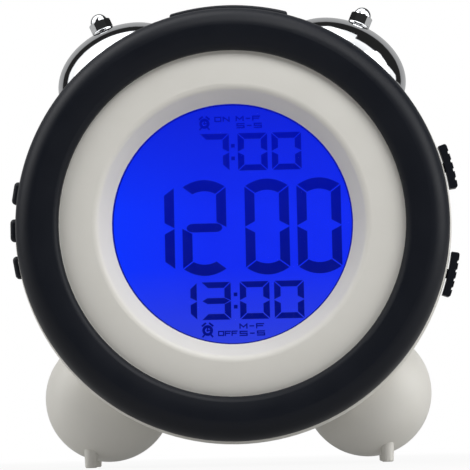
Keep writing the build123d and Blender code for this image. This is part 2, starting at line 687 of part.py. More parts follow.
def battery_tray():
    wall = TRAY_WALL
    body = block(
        -TRAY_HALF - wall, TRAY_HALF + wall, TRAY_FLOOR - wall, COVER_INSIDE, TRAY_BOTTOM - wall,
        TRAY_TOP + wall,
    )
    body -= block(-TRAY_HALF, TRAY_HALF, TRAY_FLOOR, COVER_INSIDE + PAST, TRAY_BOTTOM, TRAY_TOP)
    gap = (CELL_PITCH - 2 * CELL_RADIUS) / 2
    for height in (CELL_MIDDLE - CELL_PITCH / 2, CELL_MIDDLE + CELL_PITCH / 2):
        body += block(
            -CELL_LENGTH / 4, CELL_LENGTH / 4, TRAY_FLOOR - wall / 2, TRAY_FLOOR + CELL_RADIUS / 3,
            height - gap, height + gap,
        )
    return body


def battery_cell(height, way):
    can = Cylinder(CELL_RADIUS, CELL_LENGTH - CELL_NIPPLE_LENGTH)
    can = fillet(can.edges(), CELL_NIPPLE_LENGTH / 2)
    nipple = Cylinder(CELL_NIPPLE_RADIUS, CELL_NIPPLE_LENGTH)
    can = Pos(0, 0, -CELL_NIPPLE_LENGTH / 2) * can
    can += Pos(0, 0, CELL_LENGTH / 2 - CELL_NIPPLE_LENGTH / 2) * nipple
    return Pos(0, CELL_DEPTH, height) * Rot(0, 90 * way, 0) * can


def battery_contacts():
    leaves = []
    for height in CELL_HEIGHTS:
        for side in (-1, 1):
            wall = side * (TRAY_HALF - CONTACT_THICKNESS / 2)
            tip = side * (CELL_LENGTH / 2 + CONTACT_THICKNESS / 2 + RUN_GAP)
            low = (wall, height - CONTACT_REACH)
            high = (wall, height + CONTACT_REACH)
            bow = ThreePointArc(low, (tip, height), high)
            leaf = trace(bow, CONTACT_THICKNESS)
            leaves.append(plate(leaf, CELL_DEPTH - CONTACT_WIDTH / 2, CELL_DEPTH + CONTACT_WIDTH / 2))
    return leaves


def battery_door():
    body = plate(door_shape(0), COVER_INSIDE + RUN_GAP, BODY_DEPTH)
    top = TRAY_TOP + DOOR_LAP
    half = DOOR_NOTCH_WIDTH / 2
    body -= block(
        -half, half, BODY_DEPTH - DOOR_NOTCH_DEPTH, BODY_DEPTH + PAST, top - DOOR_NOTCH_HEIGHT, top + PAST
    )
    for rib in range(1, DOOR_RIBS + 1):
        low = TRAY_BOTTOM + DOOR_RIB_PITCH * rib
        body -= block(
            -half, half, BODY_DEPTH - DOOR_RIB_DEPTH, BODY_DEPTH + PAST, low, low + DOOR_RIB_WIDTH
        )
    return body


def bell(side):
    rise = bell_seat()
    angle = math.degrees(math.acos(BELL_SEAT_RADIUS / BELL_RADIUS))
    a_in = BELL_RADIUS - BELL_WALL
    b_in = BELL_RISE - BELL_WALL
    rise_in = rise - BELL_WALL
    angle_in = math.degrees(math.asin(rise_in / b_in))
    foot_in = a_in * math.cos(math.radians(angle_in))
    outside = EllipticalCenterArc((0, 0), BELL_RADIUS, BELL_RISE, 0, arc_size=angle)
    inside = EllipticalCenterArc((0, 0), a_in, b_in, 0, arc_size=angle_in)
    hole = STUD_RADIUS + FIT_GAP
    crown = Polyline((BELL_SEAT_RADIUS, rise), (hole, rise), (hole, rise_in), (foot_in, rise_in))
    rim = Line((a_in, 0), (BELL_RADIUS, 0))
    dome = revolve(make_face([outside, crown, inside, rim]), axis=Axis.Y)
    return bell_place(side) * Rot(90, 0, 0) * dome


def bell_seat():
    """Height of the flat at the bell's apex above the rim plane."""
    return math.sqrt(1 - (BELL_SEAT_RADIUS / BELL_RADIUS) ** 2) * BELL_RISE


def bell_post(side):
    top = bell_seat() - BELL_WALL
    shank = Cylinder(POST_RADIUS, top + POST_FOOT, align=CENTRE_MIN)
    shank = chamfer(shank.edges(), 0.3)
    low = -POST_FOOT - POST_BOSS_LENGTH - POST_NUT_HEIGHT - 1
    high = bell_seat() + CAP_NUT_COLLAR + CAP_NUT_HEX
    stud = Cylinder(STUD_RADIUS, high - low, align=CENTRE_MIN)
    return bell_place(side) * (Pos(0, 0, -POST_FOOT) * shank + Pos(0, 0, low) * stud)


def bell_nut(side):
    hex_start = CAP_NUT_COLLAR
    hex_end = hex_start + CAP_NUT_HEX
    flat = CAP_NUT_WIDTH / 2
    dome_radius = flat - 0.25
    collar = Cylinder(BELL_SEAT_RADIUS, CAP_NUT_COLLAR, align=CENTRE_MIN)
    collar = fillet(collar.edges().sort_by(Axis.Z)[-1], CAP_NUT_COLLAR * 0.5)
    flats = extrude(RegularPolygon(flat, 6, major_radius=False), CAP_NUT_HEX)
    trim = Cone(flat + CAP_NUT_HEX, flat * 1.06, CAP_NUT_HEX, align=CENTRE_MIN)
    dome = Pos(0, 0, CAP_NUT_HEIGHT - dome_radius) * Sphere(dome_radius)
    dome &= Pos(0, 0, hex_start) * Cylinder(flat, CAP_NUT_HEIGHT, align=CENTRE_MIN)
    nut = collar + Pos(0, 0, hex_start) * (flats & trim) + dome
    nut -= Cylinder(STUD_RADIUS + RUN_GAP, hex_end, align=CENTRE_MIN)
    return bell_place(side) * Pos(0, 0, bell_seat()) * nut


def post_nuts():
    nuts = []
    for side in (-1, 1):
        nut = extrude(RegularPolygon(POST_NUT_WIDTH / 2, 6, major_radius=False), POST_NUT_HEIGHT)
        nut -= Cylinder(STUD_RADIUS + RUN_GAP, POST_NUT_HEIGHT * 3)
        low = -POST_FOOT - POST_BOSS_LENGTH - POST_NUT_HEIGHT
        nuts.append(bell_place(side) * Pos(0, 0, low) * nut)
    return nuts


def foot_lean(side):
    """Angle that turns z to point from the dial axis to a foot."""
    return math.degrees(math.atan2(side * FOOT_X, -FOOT_DROP))


def foot_axis(side):
    """Where a foot's screw crosses the drum's wall, with local z pointing out."""
    wall = (DRUM_RADIUS - CASE_WALL / 2) / math.hypot(FOOT_X, FOOT_DROP)
    return Pos(side * FOOT_X * wall, FOOT_DEPTH, -FOOT_DROP * wall) * Rot(0, foot_lean(side), 0)


def foot(side):
    middle = Pos(side * FOOT_X, FOOT_DEPTH, -FOOT_DROP)
    shell = Circle(FOOT_RADIUS) - Circle(FOOT_RADIUS - FOOT_WALL)
    shell += Rectangle(2 * FOOT_BOSS_RADIUS, 2 * FOOT_RADIUS - 1)
    shell &= Rectangle(FOOT_RADIUS + 1, 2 * FOOT_RADIUS + 2, align=(Align.MIN, Align.CENTER))
    ball = Rot(90, 0, 0) * revolve(shell, axis=Axis.Y)
    body = middle * Rot(0, foot_lean(side), 0) * ball
    for along in (-1, 1):
        spot = Pos(side * PEG_X, FOOT_DEPTH + along * PEG_SPREAD, -AXIS_HEIGHT)
        length = AXIS_HEIGHT - FOOT_DROP - FOOT_RADIUS * 0.72
        peg = Cone(PEG_RADIUS, PEG_TOP_RADIUS, length, align=CENTRE_MIN)
        peg = fillet(peg.edges().sort_by(Axis.Z)[0], 0.5)
        body += spot * peg
    body -= turned(case_section(SEAT_GAP))
    body -= turned(cover_section(SEAT_GAP))
    body -= foot_axis(side) * Cylinder(FOOT_SCREW_RADIUS, 2 * FOOT_SCREW_BITE + 2)
    return body


def foot_screws():
    screws = []
    for side in (-1, 1):
        seat = -CASE_WALL / 2 - SEAT_GAP
        top = seat - FOOT_SCREW_HEAD_HEIGHT
        shank = Cylinder(FOOT_SCREW_RADIUS, FOOT_SCREW_BITE - seat, align=CENTRE_MIN)
        head = Cylinder(FOOT_SCREW_HEAD_RADIUS, FOOT_SCREW_HEAD_HEIGHT, align=CENTRE_MIN)
        head = fillet(head.edges().sort_by(Axis.Z)[0], FOOT_SCREW_HEAD_HEIGHT * 0.4)
        socket = Cylinder(FOOT_SCREW_HEAD_RADIUS * 0.35, 2 * SCREW_SOCKET_DEPTH)
        one = Pos(0, 0, seat) * shank + Pos(0, 0, top) * (head - socket)
        screws.append(foot_axis(side) * one)
    return screws


def snooze_button():
    rear_radius = SNOOZE_FRONT_RADIUS + SNOOZE_RISE
    top = turned(outline(
        (0, SNOOZE_FRONT), (SNOOZE_FRONT_RADIUS, SNOOZE_FRONT), (rear_radius, SNOOZE_REAR),
        (0, SNOOZE_REAR),
    ))
    bar = top & block(
        -SNOOZE_HALF, SNOOZE_HALF, SNOOZE_FRONT, SNOOZE_REAR, SNOOZE_BOTTOM, rear_radius + PAST
    )
    high = bar.edges().filter_by(lambda e: e.center().Z > SNOOZE_BOTTOM + SNOOZE_EDGE_ROUND)
    bar = fillet(high, SNOOZE_EDGE_ROUND)
    wall = SNOOZE_WALL
    core = rod(SNOOZE_FRONT_RADIUS - SNOOZE_ROOF, SNOOZE_FRONT + wall, SNOOZE_REAR - wall)
    core &= block(
        -SNOOZE_HALF + wall, SNOOZE_HALF - wall, 0, BODY_DEPTH, SNOOZE_BOTTOM - PAST, rear_radius
    )
    bar -= core
    tab_top = math.sqrt((RIM_BORE - SLIDE_GAP) ** 2 - (SNOOZE_HALF + SNOOZE_TAB) ** 2)
    for side in (-1, 1):
        x0, x1 = sorted((side * (SNOOZE_HALF - wall), side * SNOOZE_HALF))
        leg = block(
            x0, x1, SNOOZE_FRONT + wall, SHOULDER_FRONT - SLIDE_GAP * 2, tab_top - SNOOZE_TAB_HEIGHT,
            SNOOZE_BOTTOM + SNOOZE_EDGE_ROUND / 2,
        )
        x0, x1 = sorted((side * (SNOOZE_HALF - wall), side * (SNOOZE_HALF + SNOOZE_TAB)))
        tab = block(
            x0, x1, SNOOZE_FRONT + wall, SHOULDER_FRONT - SLIDE_GAP * 2, tab_top - SNOOZE_TAB_HEIGHT,
            tab_top,
        )
        bar += leg + tab
    return bar


def snooze_switch():
    top = SNOOZE_FRONT_RADIUS - SNOOZE_ROOF - SNOOZE_TRAVEL - FIT_GAP
    middle = (SHOULDER_FRONT + SNOOZE_REAR - SNOOZE_WALL) / 2
    half = TACT_SIZE / 2 - FIT_GAP
    body = block(-half, half, middle - half, middle + half, POCKET_FLOOR, top - TACT_TIP)
    tip = Cylinder(half * 0.6, TACT_TIP, align=CENTRE_MIN)
    return body + Pos(0, middle, top - TACT_TIP) * tip


def set_button(step):
    flange_top = math.sqrt((RIM_BORE - SLIDE_GAP) ** 2 - (BUTTON_LENGTH / 2 + BUTTON_FLANGE) ** 2)
    low = flange_top - BUTTON_FLANGE_THICKNESS
    half = BUTTON_LENGTH / 2
    wide = BUTTON_WIDTH / 2
    cap = block(low, BUTTON_TOP, BUTTON_DEPTH - wide, BUTTON_DEPTH + wide, -half, half)
    cap = fillet(cap.edges().filter_by(Axis.X), BUTTON_CORNER_ROUND)
    cap = fillet(cap.faces().sort_by(Axis.X)[-1].edges(), BUTTON_EDGE_ROUND)
    skirt = block(
        low, flange_top, BUTTON_DEPTH - wide - BUTTON_FLANGE / 2,
        BUTTON_DEPTH + wide + BUTTON_FLANGE / 2, -half - BUTTON_FLANGE, half + BUTTON_FLANGE,
    )
    tip = SIDE_BOARD_RADIUS + TACT_HEIGHT + TACT_TIP + BUTTON_TRAVEL + FIT_GAP
    stem = Cylinder(BUTTON_STEM_RADIUS, low - tip + BUTTON_FLANGE_THICKNESS / 2, align=CENTRE_MIN)
    stem = Pos(tip, BUTTON_DEPTH, 0) * Rot(0, 90, 0) * stem
    return around(180 + step * BUTTON_STEP) * (cap + skirt + stem)


def side_board(middle, reach):
    """A curved flexible board standing on the rim's back wall."""
    strip = outline(
        (SIDE_BOARD_RADIUS - SIDE_BOARD_THICKNESS, CASE_FRONT + SIDE_BOARD_GAP),
        (SIDE_BOARD_RADIUS, CASE_FRONT + SIDE_BOARD_GAP),
        (SIDE_BOARD_RADIUS, SHOULDER_FRONT),
        (SIDE_BOARD_RADIUS - SIDE_BOARD_THICKNESS, SHOULDER_FRONT),
    )
    arc = revolve(strip, axis=Axis.Y, revolution_arc=2 * reach)
    return around(middle + reach) * arc


def button_board():
    return side_board(180, BUTTON_STEP + 5)


def slider_board():
    return side_board(0, SLIDER_ANGLE + 6)


def button_switches():
    switches = []
    for step in (-1, 0, 1):
        half = TACT_SIZE / 2
        base = SIDE_BOARD_RADIUS
        body = block(base, base + TACT_HEIGHT, BUTTON_DEPTH - half, BUTTON_DEPTH + half, -half, half)
        tip = Cylinder(TACT_TIP_RADIUS, TACT_TIP, align=CENTRE_MIN)
        body += Pos(base + TACT_HEIGHT, BUTTON_DEPTH, 0) * Rot(0, 90, 0) * tip
        switches.append(around(180 + step * BUTTON_STEP) * body)
    return switches


def alarm_slider(side):
    inner = RIM_RADIUS + SLIDER_CLEAR
    wide = SLIDER_WIDTH / 2
    section = outline(
        (inner, BUTTON_DEPTH - wide), (SLIDER_TOP, BUTTON_DEPTH - wide),
        (SLIDER_TOP, BUTTON_DEPTH + wide), (inner, BUTTON_DEPTH + wide),
    )
    cap = around(SLIDER_HALF_ANGLE) * revolve(section, axis=Axis.Y, revolution_arc=2 * SLIDER_HALF_ANGLE)
    ends = sorted(cap.edges().filter_by(Axis.Y), key=lambda e: e.center().X**2 + e.center().Z**2)
    cap = fillet(ends[-2:], SLIDER_END_ROUND)
    step = 2 * SLIDER_HALF_ANGLE / (SLIDER_RIDGES + 1)
    for ridge in range(SLIDER_RIDGES):
        angle = -SLIDER_HALF_ANGLE + step * (ridge + 1)
        cut = block(
            SLIDER_TOP - SLIDER_GROOVE, SLIDER_TOP + PAST, BUTTON_DEPTH - wide - PAST,
            BUTTON_DEPTH + wide + PAST, -SLIDER_GROOVE_WIDTH / 2, SLIDER_GROOVE_WIDTH / 2,
        )
        cap -= around(angle) * cut
    tip = SIDE_BOARD_RADIUS + SWITCH_HEIGHT * 0.5
    stem = block(
        tip, inner + SLIDER_CLEAR, BUTTON_DEPTH - STEM_WIDTH / 2, BUTTON_DEPTH + STEM_WIDTH / 2,
        -STEM_LENGTH / 2, STEM_LENGTH / 2,
    )
    return around(side * SLIDER_ANGLE) * (cap + stem)


def slide_switch(side):
    base = SIDE_BOARD_RADIUS
    half = SWITCH_LENGTH / 2
    wide = SWITCH_WIDTH / 2
    shift = -side * SLIDER_TRAVEL / 2
    body = block(
        base, base + SWITCH_HEIGHT, BUTTON_DEPTH - wide, BUTTON_DEPTH + wide, shift - half, shift + half
    )
    body = around(side * SLIDER_ANGLE) * body
    body -= slider_slot(side, base + SWITCH_HEIGHT * 0.4, RIM_BORE, STEM_WIDTH / 2 + FIT_GAP)
    body -= rod(base + RUN_GAP, 0, BODY_DEPTH)
    return body


def ringer_bracket():
    reach = 2 * BRACKET_SCREW_X + BRACKET_WIDTH
    bar = Pos(0, BRACKET_SCREW_HEIGHT) * RectangleRounded(reach, BRACKET_WIDTH, BRACKET_CORNER)
    low = MOTOR_HEIGHT - MOTOR_RADIUS - BRACKET_THICKNESS
    high = BRACKET_SCREW_HEIGHT + BRACKET_WIDTH / 2
    wide = 2 * (MOTOR_RADIUS + 2 * BRACKET_THICKNESS)
    mast = Pos(0, (low + high) / 2) * RectangleRounded(wide, high - low, BRACKET_CORNER)
    body = plate(bar + mast, BRACKET_DEPTH, BRACKET_BACK)
    for side in (-1, 1):
        body -= rod(SCREW_RADIUS + FIT_GAP, 0, BODY_DEPTH, side * BRACKET_SCREW_X, BRACKET_SCREW_HEIGHT)
    body -= rod(HAMMER_PIN_RADIUS, 0, BODY_DEPTH, 0, HAMMER_PIVOT)
    body -= rod(SHAFT_RADIUS * 3, 0, BODY_DEPTH, 0, MOTOR_HEIGHT)
    return body


def bracket_screws():
    tip = BRACKET_DEPTH - BRACKET_BOSS_LENGTH + SCREW_RADIUS + FIT_GAP
    return [
        screw(side * BRACKET_SCREW_X, BRACKET_SCREW_HEIGHT, tip, BRACKET_BACK) for side in (-1, 1)
    ]


def ringer_motor():
    can = rod(MOTOR_RADIUS, BRACKET_DEPTH - MOTOR_LENGTH, BRACKET_DEPTH, 0, MOTOR_HEIGHT)
    can = fillet(can.edges().sort_by(Axis.Y)[0], 1.2)
    can += rod(SHAFT_RADIUS * 3 - RUN_GAP, BRACKET_DEPTH, BRACKET_BACK, 0, MOTOR_HEIGHT)
    return can - rod(
        SHAFT_RADIUS + RUN_GAP, BRACKET_DEPTH - MOTOR_LENGTH + 2, BODY_DEPTH, 0, MOTOR_HEIGHT
    )


def motor_shaft():
    start = BRACKET_DEPTH - MOTOR_LENGTH + 2 + FIT_GAP
    return rod(SHAFT_RADIUS, start, CRANK_FRONT + CRANK_THICKNESS, 0, MOTOR_HEIGHT)


def crank_disc():
    disc = rod(CRANK_RADIUS, CRANK_FRONT, CRANK_FRONT + CRANK_THICKNESS, 0, MOTOR_HEIGHT)
    disc -= rod(SHAFT_RADIUS, 0, BODY_DEPTH, 0, MOTOR_HEIGHT)
    pin = rod(
        CRANK_PIN_RADIUS, CRANK_FRONT + CRANK_THICKNESS / 2, HAMMER_BACK + 0.5, 0,
        MOTOR_HEIGHT - CRANK_THROW,
    )
    pin -= rod(SHAFT_RADIUS, 0, CRANK_FRONT + CRANK_THICKNESS, 0, MOTOR_HEIGHT)
    return disc + pin


def hammer_pin():
    return rod(HAMMER_PIN_RADIUS, BRACKET_DEPTH, HAMMER_BACK + HAMMER_PIN_TAIL, 0, HAMMER_PIVOT)


def pin_clip():
    start = HAMMER_BACK + PIN_CLIP_GAP
    end = start + PIN_CLIP_THICKNESS
    clip = rod(HAMMER_PIN_RADIUS + PIN_CLIP_WIDTH, start, end, 0, HAMMER_PIVOT)
    return clip - rod(HAMMER_PIN_RADIUS, 0, BODY_DEPTH, 0, HAMMER_PIVOT)


def hammer_arm():
    low = MOTOR_HEIGHT - CRANK_THROW - CRANK_PIN_RADIUS - FORK_WALL
    high = MOTOR_HEIGHT + CRANK_THROW + CRANK_PIN_RADIUS + 2 * FORK_GAP
    slot_half = CRANK_PIN_RADIUS + FORK_GAP
    tail_half = slot_half + FORK_WALL
    shoulder = high + FORK_WALL
    neck = HAMMER_ARM_WIDTH / 2
    top = HAMMER_HEAD_HEIGHT + HAMMER_HEAD_RADIUS * 0.4
    shape = Polyline(
        (-tail_half, low), (-tail_half, shoulder), (-neck, HAMMER_PIVOT), (-neck, top), (neck, top),
        (neck, HAMMER_PIVOT), (tail_half, shoulder), (tail_half, low), close=True,
    )
    body = plate(make_face(shape), HAMMER_FRONT, HAMMER_BACK)
    body -= block(-slot_half, slot_half, 0, BODY_DEPTH, low - PAST, high)
    body += rod(HAMMER_HUB_RADIUS, BRACKET_BACK + SLIDE_GAP, HAMMER_BACK + 1, 0, HAMMER_PIVOT)
    return body - rod(HAMMER_PIN_RADIUS + RUN_GAP, 0, BODY_DEPTH, 0, HAMMER_PIVOT)


def hammer_head():
    barrel = Rot(0, 90, 0) * Cylinder(HAMMER_HEAD_RADIUS, 2 * HAMMER_HEAD_HALF)
    barrel = fillet(barrel.edges(), 0.6)
    barrel = Pos(0, BELL_DEPTH, HAMMER_HEAD_HEIGHT) * barrel
    neck = HAMMER_ARM_WIDTH / 2 + RUN_GAP
    return barrel - block(
        -neck, neck, HAMMER_FRONT - RUN_GAP, HAMMER_BACK + RUN_GAP, 0,
        HAMMER_HEAD_HEIGHT + HAMMER_HEAD_RADIUS * 0.4 + RUN_GAP,
    )


PIECES = {
    "front_ring": front_ring(),
    "dial_bezel": dial_bezel(),
    "bezel_screws": bezel_screws(),
    "display_window": display_window(),
    "lcd_panel": lcd_panel(),
    "backlight_panel": backlight_panel(),
    "backlight_leds": backlight_leds(),
    "elastomer_connectors": elastomer_connectors(),
    "display_frame": display_frame(),
    "main_board": main_board(),
    "board_components": board_components(),
    "board_screws": board_screws(),
    "main_case": main_case(),
    "back_cover": back_cover(),
    "case_screws": case_screws(),
    "battery_tray": battery_tray(),
    "battery_cell_top": battery_cell(CELL_HEIGHTS[0], 1),
    "battery_cell_middle": battery_cell(CELL_HEIGHTS[1], -1),
    "battery_cell_bottom": battery_cell(CELL_HEIGHTS[2], 1),
    "battery_contacts": battery_contacts(),
    "battery_door": battery_door(),
    "bell_left": bell(-1),
    "bell_right": bell(1),
    "bell_post_left": bell_post(-1),
    "bell_post_right": bell_post(1),
    "bell_nut_left": bell_nut(-1),
    "bell_nut_right": bell_nut(1),
    "post_nuts": post_nuts(),
    "left_foot": foot(-1),
    "right_foot": foot(1),
    "foot_screws": foot_screws(),
    "snooze_button": snooze_button(),
    "snooze_switch": snooze_switch(),
    "set_button_upper": set_button(-1),
    "set_button_middle": set_button(0),
    "set_button_lower": set_button(1),
    "button_board": button_board(),
    "button_switches": button_switches(),
    "alarm_slider_upper": alarm_slider(1),
    "alarm_slider_lower": alarm_slider(-1),
    "slider_board": slider_board(),
    "slide_switch_upper": slide_switch(1),
    "slide_switch_lower": slide_switch(-1),
    "ringer_bracket": ringer_bracket(),
    "bracket_screws": bracket_screws(),
    "ringer_motor": ringer_motor(),
    "motor_shaft": motor_shaft(),
    "crank_disc": crank_disc(),
    "hammer_pin": hammer_pin(),
    "pin_clip": pin_clip(),
    "hammer_arm": hammer_arm(),
    "hammer_head": hammer_head(),
}


def finish(shape):
    """Move a piece onto the table, the clock's middle over the origin."""
    place = Pos(0, -BODY_DEPTH / 2, AXIS_HEIGHT)
    if isinstance(shape, list):
        return Compound(children=[solid for one in shape for solid in (place * one).solids()])
    return place * shape


os.makedirs("parts", exist_ok=True)
for name, shape in PIECES.items():
    piece = finish(shape)
    export_step(piece, f"parts/{name}.step")
    size = piece.bounding_box().size
    count = len(piece.solids())
    print(f"{name:22s} {count} solid(s)  {size.X:7.2f} x {size.Y:6.2f} x {size.Z:6.2f} mm")
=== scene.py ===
# %% [markdown]
# # Dressing a twin bell alarm clock
# The clock's pieces arrive from the CAD frame at their real size and place. This lesson gives each
# of them the finish of the real material, draws what the display shows, and sets up a small studio.

# %% Load the frame
import json
import math

import bmesh
import bpy
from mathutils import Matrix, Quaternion, Vector


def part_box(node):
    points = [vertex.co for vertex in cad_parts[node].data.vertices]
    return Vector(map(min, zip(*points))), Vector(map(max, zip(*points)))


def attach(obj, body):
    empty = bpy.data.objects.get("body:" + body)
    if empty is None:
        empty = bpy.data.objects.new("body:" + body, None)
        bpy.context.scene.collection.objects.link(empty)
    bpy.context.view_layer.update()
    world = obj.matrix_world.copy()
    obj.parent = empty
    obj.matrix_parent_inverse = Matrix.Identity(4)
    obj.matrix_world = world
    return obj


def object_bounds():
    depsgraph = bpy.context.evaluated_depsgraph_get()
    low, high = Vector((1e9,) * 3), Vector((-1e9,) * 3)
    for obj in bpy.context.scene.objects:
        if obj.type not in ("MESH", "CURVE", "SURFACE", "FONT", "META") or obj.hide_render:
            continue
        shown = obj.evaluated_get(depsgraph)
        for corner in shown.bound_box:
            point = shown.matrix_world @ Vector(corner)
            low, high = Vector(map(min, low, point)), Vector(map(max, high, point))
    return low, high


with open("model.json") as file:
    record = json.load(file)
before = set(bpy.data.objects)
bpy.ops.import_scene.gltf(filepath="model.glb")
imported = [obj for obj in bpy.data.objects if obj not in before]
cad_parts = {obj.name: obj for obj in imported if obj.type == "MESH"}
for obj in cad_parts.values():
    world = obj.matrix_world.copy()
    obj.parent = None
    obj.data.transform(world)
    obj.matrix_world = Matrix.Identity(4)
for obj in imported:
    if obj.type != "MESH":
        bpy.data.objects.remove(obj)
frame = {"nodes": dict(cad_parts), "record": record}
cad_low, cad_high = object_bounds()
record = frame["record"]
print("pieces:", len(frame["nodes"]), "box in mm:", [round(1000 * x) for x in cad_high - cad_low])

# %% [markdown]
# Blender works in metres here, but a clock is measured in millimetres. Everything on the dial is
# easiest to place from the dial's own axis, so the lesson reads that axis from the black ring's box
# and counts x to the right, depth back from the ring's crest and height above the axis.

# %% The dial axis
MM = 0.001
ring_low, ring_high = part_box("front_ring")
DIAL_AXIS = (ring_low + ring_high) / 2
RING_CREST = ring_low.y
RING_RADIUS = (ring_high.x - ring_low.x) / 2


def on_dial(x, depth, height):
    """A point from millimetres on the dial to metres in the frame."""
    return Vector((DIAL_AXIS.x + x * MM, RING_CREST + depth * MM, DIAL_AXIS.z + height * MM))


print("dial axis in mm:", [round(v / MM, 2) for v in DIAL_AXIS])
print("ring radius in mm:", round(RING_RADIUS / MM, 2))

# %% [markdown]
# Colours are written as the hex values that a paint or plastic chart would give. Blender mixes light
# in linear values, so one function turns the hex into those. A second function adds a shader node
# with its settings and links, and a third starts a material around a Principled shader.

# %% Colour and node helpers


def linear(code, alpha=1.0):
    """An sRGB hex colour as linear red, green, blue and alpha."""
    parts = [int(code[i : i + 2], 16) / 255 for i in (1, 3, 5)]
    return [p / 12.92 if p <= 0.04045 else ((p + 0.055) / 1.055) ** 2.4 for p in parts] + [alpha]


def add(tree, kind, inputs=(), **settings):
    """Add a shader node, set its properties, and set or link its sockets."""
    made = tree.nodes.new("ShaderNode" + kind)
    for name, value in settings.items():
        setattr(made, name, value)
    for socket, value in dict(inputs).items():
        if isinstance(value, bpy.types.NodeSocket):
            tree.links.new(value, made.inputs[socket])
        else:
            made.inputs[socket].default_value = value
    return made


def start_material(name, **sockets):
    """A material with a Principled shader, and its tree, shader and object coordinates in metres."""
    made = bpy.data.materials.new(name)
    made.use_nodes = True
    tree = made.node_tree
    shader = tree.nodes["Principled BSDF"]
    for socket, value in sockets.items():
        shader.inputs[socket.replace("_", " ")].default_value = value
    place = add(tree, "TexCoord").outputs["Object"]
    return made, tree, shader, place


print("middle grey in linear light:", round(linear("#808080")[0], 3))

# %% [markdown]
# ## Black and white ABS
# Ring, buttons and case are injection moulded ABS. The tool was spark eroded, so the skin has a fine
# satin grain of about a fifth of a millimetre. That is too fine for the render, so it is drawn at
# twice the size and very shallow: it breaks the highlights up without showing as a pattern. A slow
# second noise moves the roughness a little, as handling does.

# %% Moulded ABS
ABS_GRAIN = 0.4 * MM
ABS_GRAIN_DEPTH = 0.006 * MM
HANDLING_SIZE = 9 * MM
HANDLING_LOW = 0.3
HANDLING_HIGH = 0.7


def moulded_abs(name, colour, worn_colour, smooth, rough, grain, shine):
    """Moulded ABS: a satin skin whose grain spreads each highlight into a soft band."""
    made, tree, shader, place = start_material(name, IOR=1.53, Specular_IOR_Level=shine)
    pebbles = add(tree, "TexNoise", {"Vector": place, "Scale": 1 / ABS_GRAIN, "Detail": 2.0})
    hands = add(tree, "TexNoise", {"Vector": place, "Scale": 1 / HANDLING_SIZE, "Detail": 3.0})
    tone = add(
        tree, "Mix", {0: hands.outputs["Fac"], 6: linear(colour), 7: linear(worn_colour)}, data_type="RGBA"
    )
    sheen = add(
        tree,
        "MapRange",
        {"Value": hands.outputs["Fac"], 1: HANDLING_LOW, 2: HANDLING_HIGH, 3: smooth, 4: rough},
    )
    bump = add(
        tree, "Bump", {"Strength": grain, "Distance": ABS_GRAIN_DEPTH, "Height": pebbles.outputs["Fac"]}
    )
    tree.links.new(tone.outputs[2], shader.inputs["Base Color"])
    tree.links.new(sheen.outputs["Result"], shader.inputs["Roughness"])
    tree.links.new(bump.outputs["Normal"], shader.inputs["Normal"])
    return made


black_abs = moulded_abs(
    "satin_black_abs", "#040914", "#080D18", smooth=0.41, rough=0.47, grain=0.5, shine=0.22
)
white_abs = moulded_abs(
    "warm_white_abs", "#DBD9D2", "#E0DED8", smooth=0.40, rough=0.48, grain=0.35, shine=0.5
)
print("plastics:", black_abs.name, white_abs.name, "with a grain of", ABS_GRAIN / MM, "mm")

# %% [markdown]
# ## Metals
# Bells and cap nuts are steel with polished chrome plate: almost a mirror, a shade bluer than steel,
# with the slight waviness of a spun dome. Screws, posts and the ringer's frame are zinc plated, which
# is greyer and has fine drawn lines. A metal's colour is its reflection, so both start from metallic 1.

# %% Chrome and zinc
DOME_WAVE = 6 * MM
DOME_WAVE_DEPTH = 0.01 * MM
DRAWN_LINE = 0.5 * MM
DRAWN_STRETCH = 0.12


def chrome_plate():
    """Nickel and chrome over a spun steel dome: a mirror with a slow ripple."""
    made, tree, shader, place = start_material(
        "polished_chrome_plate", Metallic=1.0, Base_Color=linear("#E4E6E9"), Roughness=0.05
    )
    wave = add(tree, "TexNoise", {"Vector": place, "Scale": 1 / DOME_WAVE, "Detail": 1.0})
    bump = add(
        tree, "Bump", {"Strength": 0.25, "Distance": DOME_WAVE_DEPTH, "Height": wave.outputs["Fac"]}
    )
    tree.links.new(bump.outputs["Normal"], shader.inputs["Normal"])
    return made


def zinc_plate():
    """Bright zinc on drawn or turned steel: grey, half gloss, with lines along the draw."""
    made, tree, shader, place = start_material("zinc_plated_steel", Metallic=1.0)
    stretched = add(tree, "Mapping", {"Vector": place, "Scale": (1.0, DRAWN_STRETCH, 1.0)})
    lines = add(
        tree, "TexNoise", {"Vector": stretched.outputs["Vector"], "Scale": 1 / DRAWN_LINE, "Detail": 4.0}
    )
    tone = add(
        tree,
        "Mix",
        {0: lines.outputs["Fac"], 6: linear("#A5A8AB"), 7: linear("#C6C8C9")},
        data_type="RGBA",
    )
    sheen = add(tree, "MapRange", {"Value": lines.outputs["Fac"], 3: 0.22, 4: 0.4})
    tree.links.new(tone.outputs[2], shader.inputs["Base Color"])
    tree.links.new(sheen.outputs["Result"], shader.inputs["Roughness"])
    return made


chrome = chrome_plate()
zinc = zinc_plate()
print("metals:", chrome.name, zinc.name)

# %% [markdown]
# ## The lit display
# A blue display is a liquid crystal glass with a light spreader behind it. The glass itself glows, so
# its colour goes into the emission: brightest on the left, where the lamp is near, and paler towards
# the bottom. The window in front of it is clear acrylic, which is what makes it look deep. The places
# where the glow starts to change are in millimetres from the dial's axis.

# %% Display glass and window
DISPLAY_RADIUS = 33.3
LAMP_GLOW_FROM = -6
PALE_GLOW_FROM = -12
DIM_GLOW_FROM = 4
DARK_FILM_AT = -20
LIGHT_FILM_AT = 26
MURA_SIZE = 7 * MM
WIPE_SIZE = 12 * MM


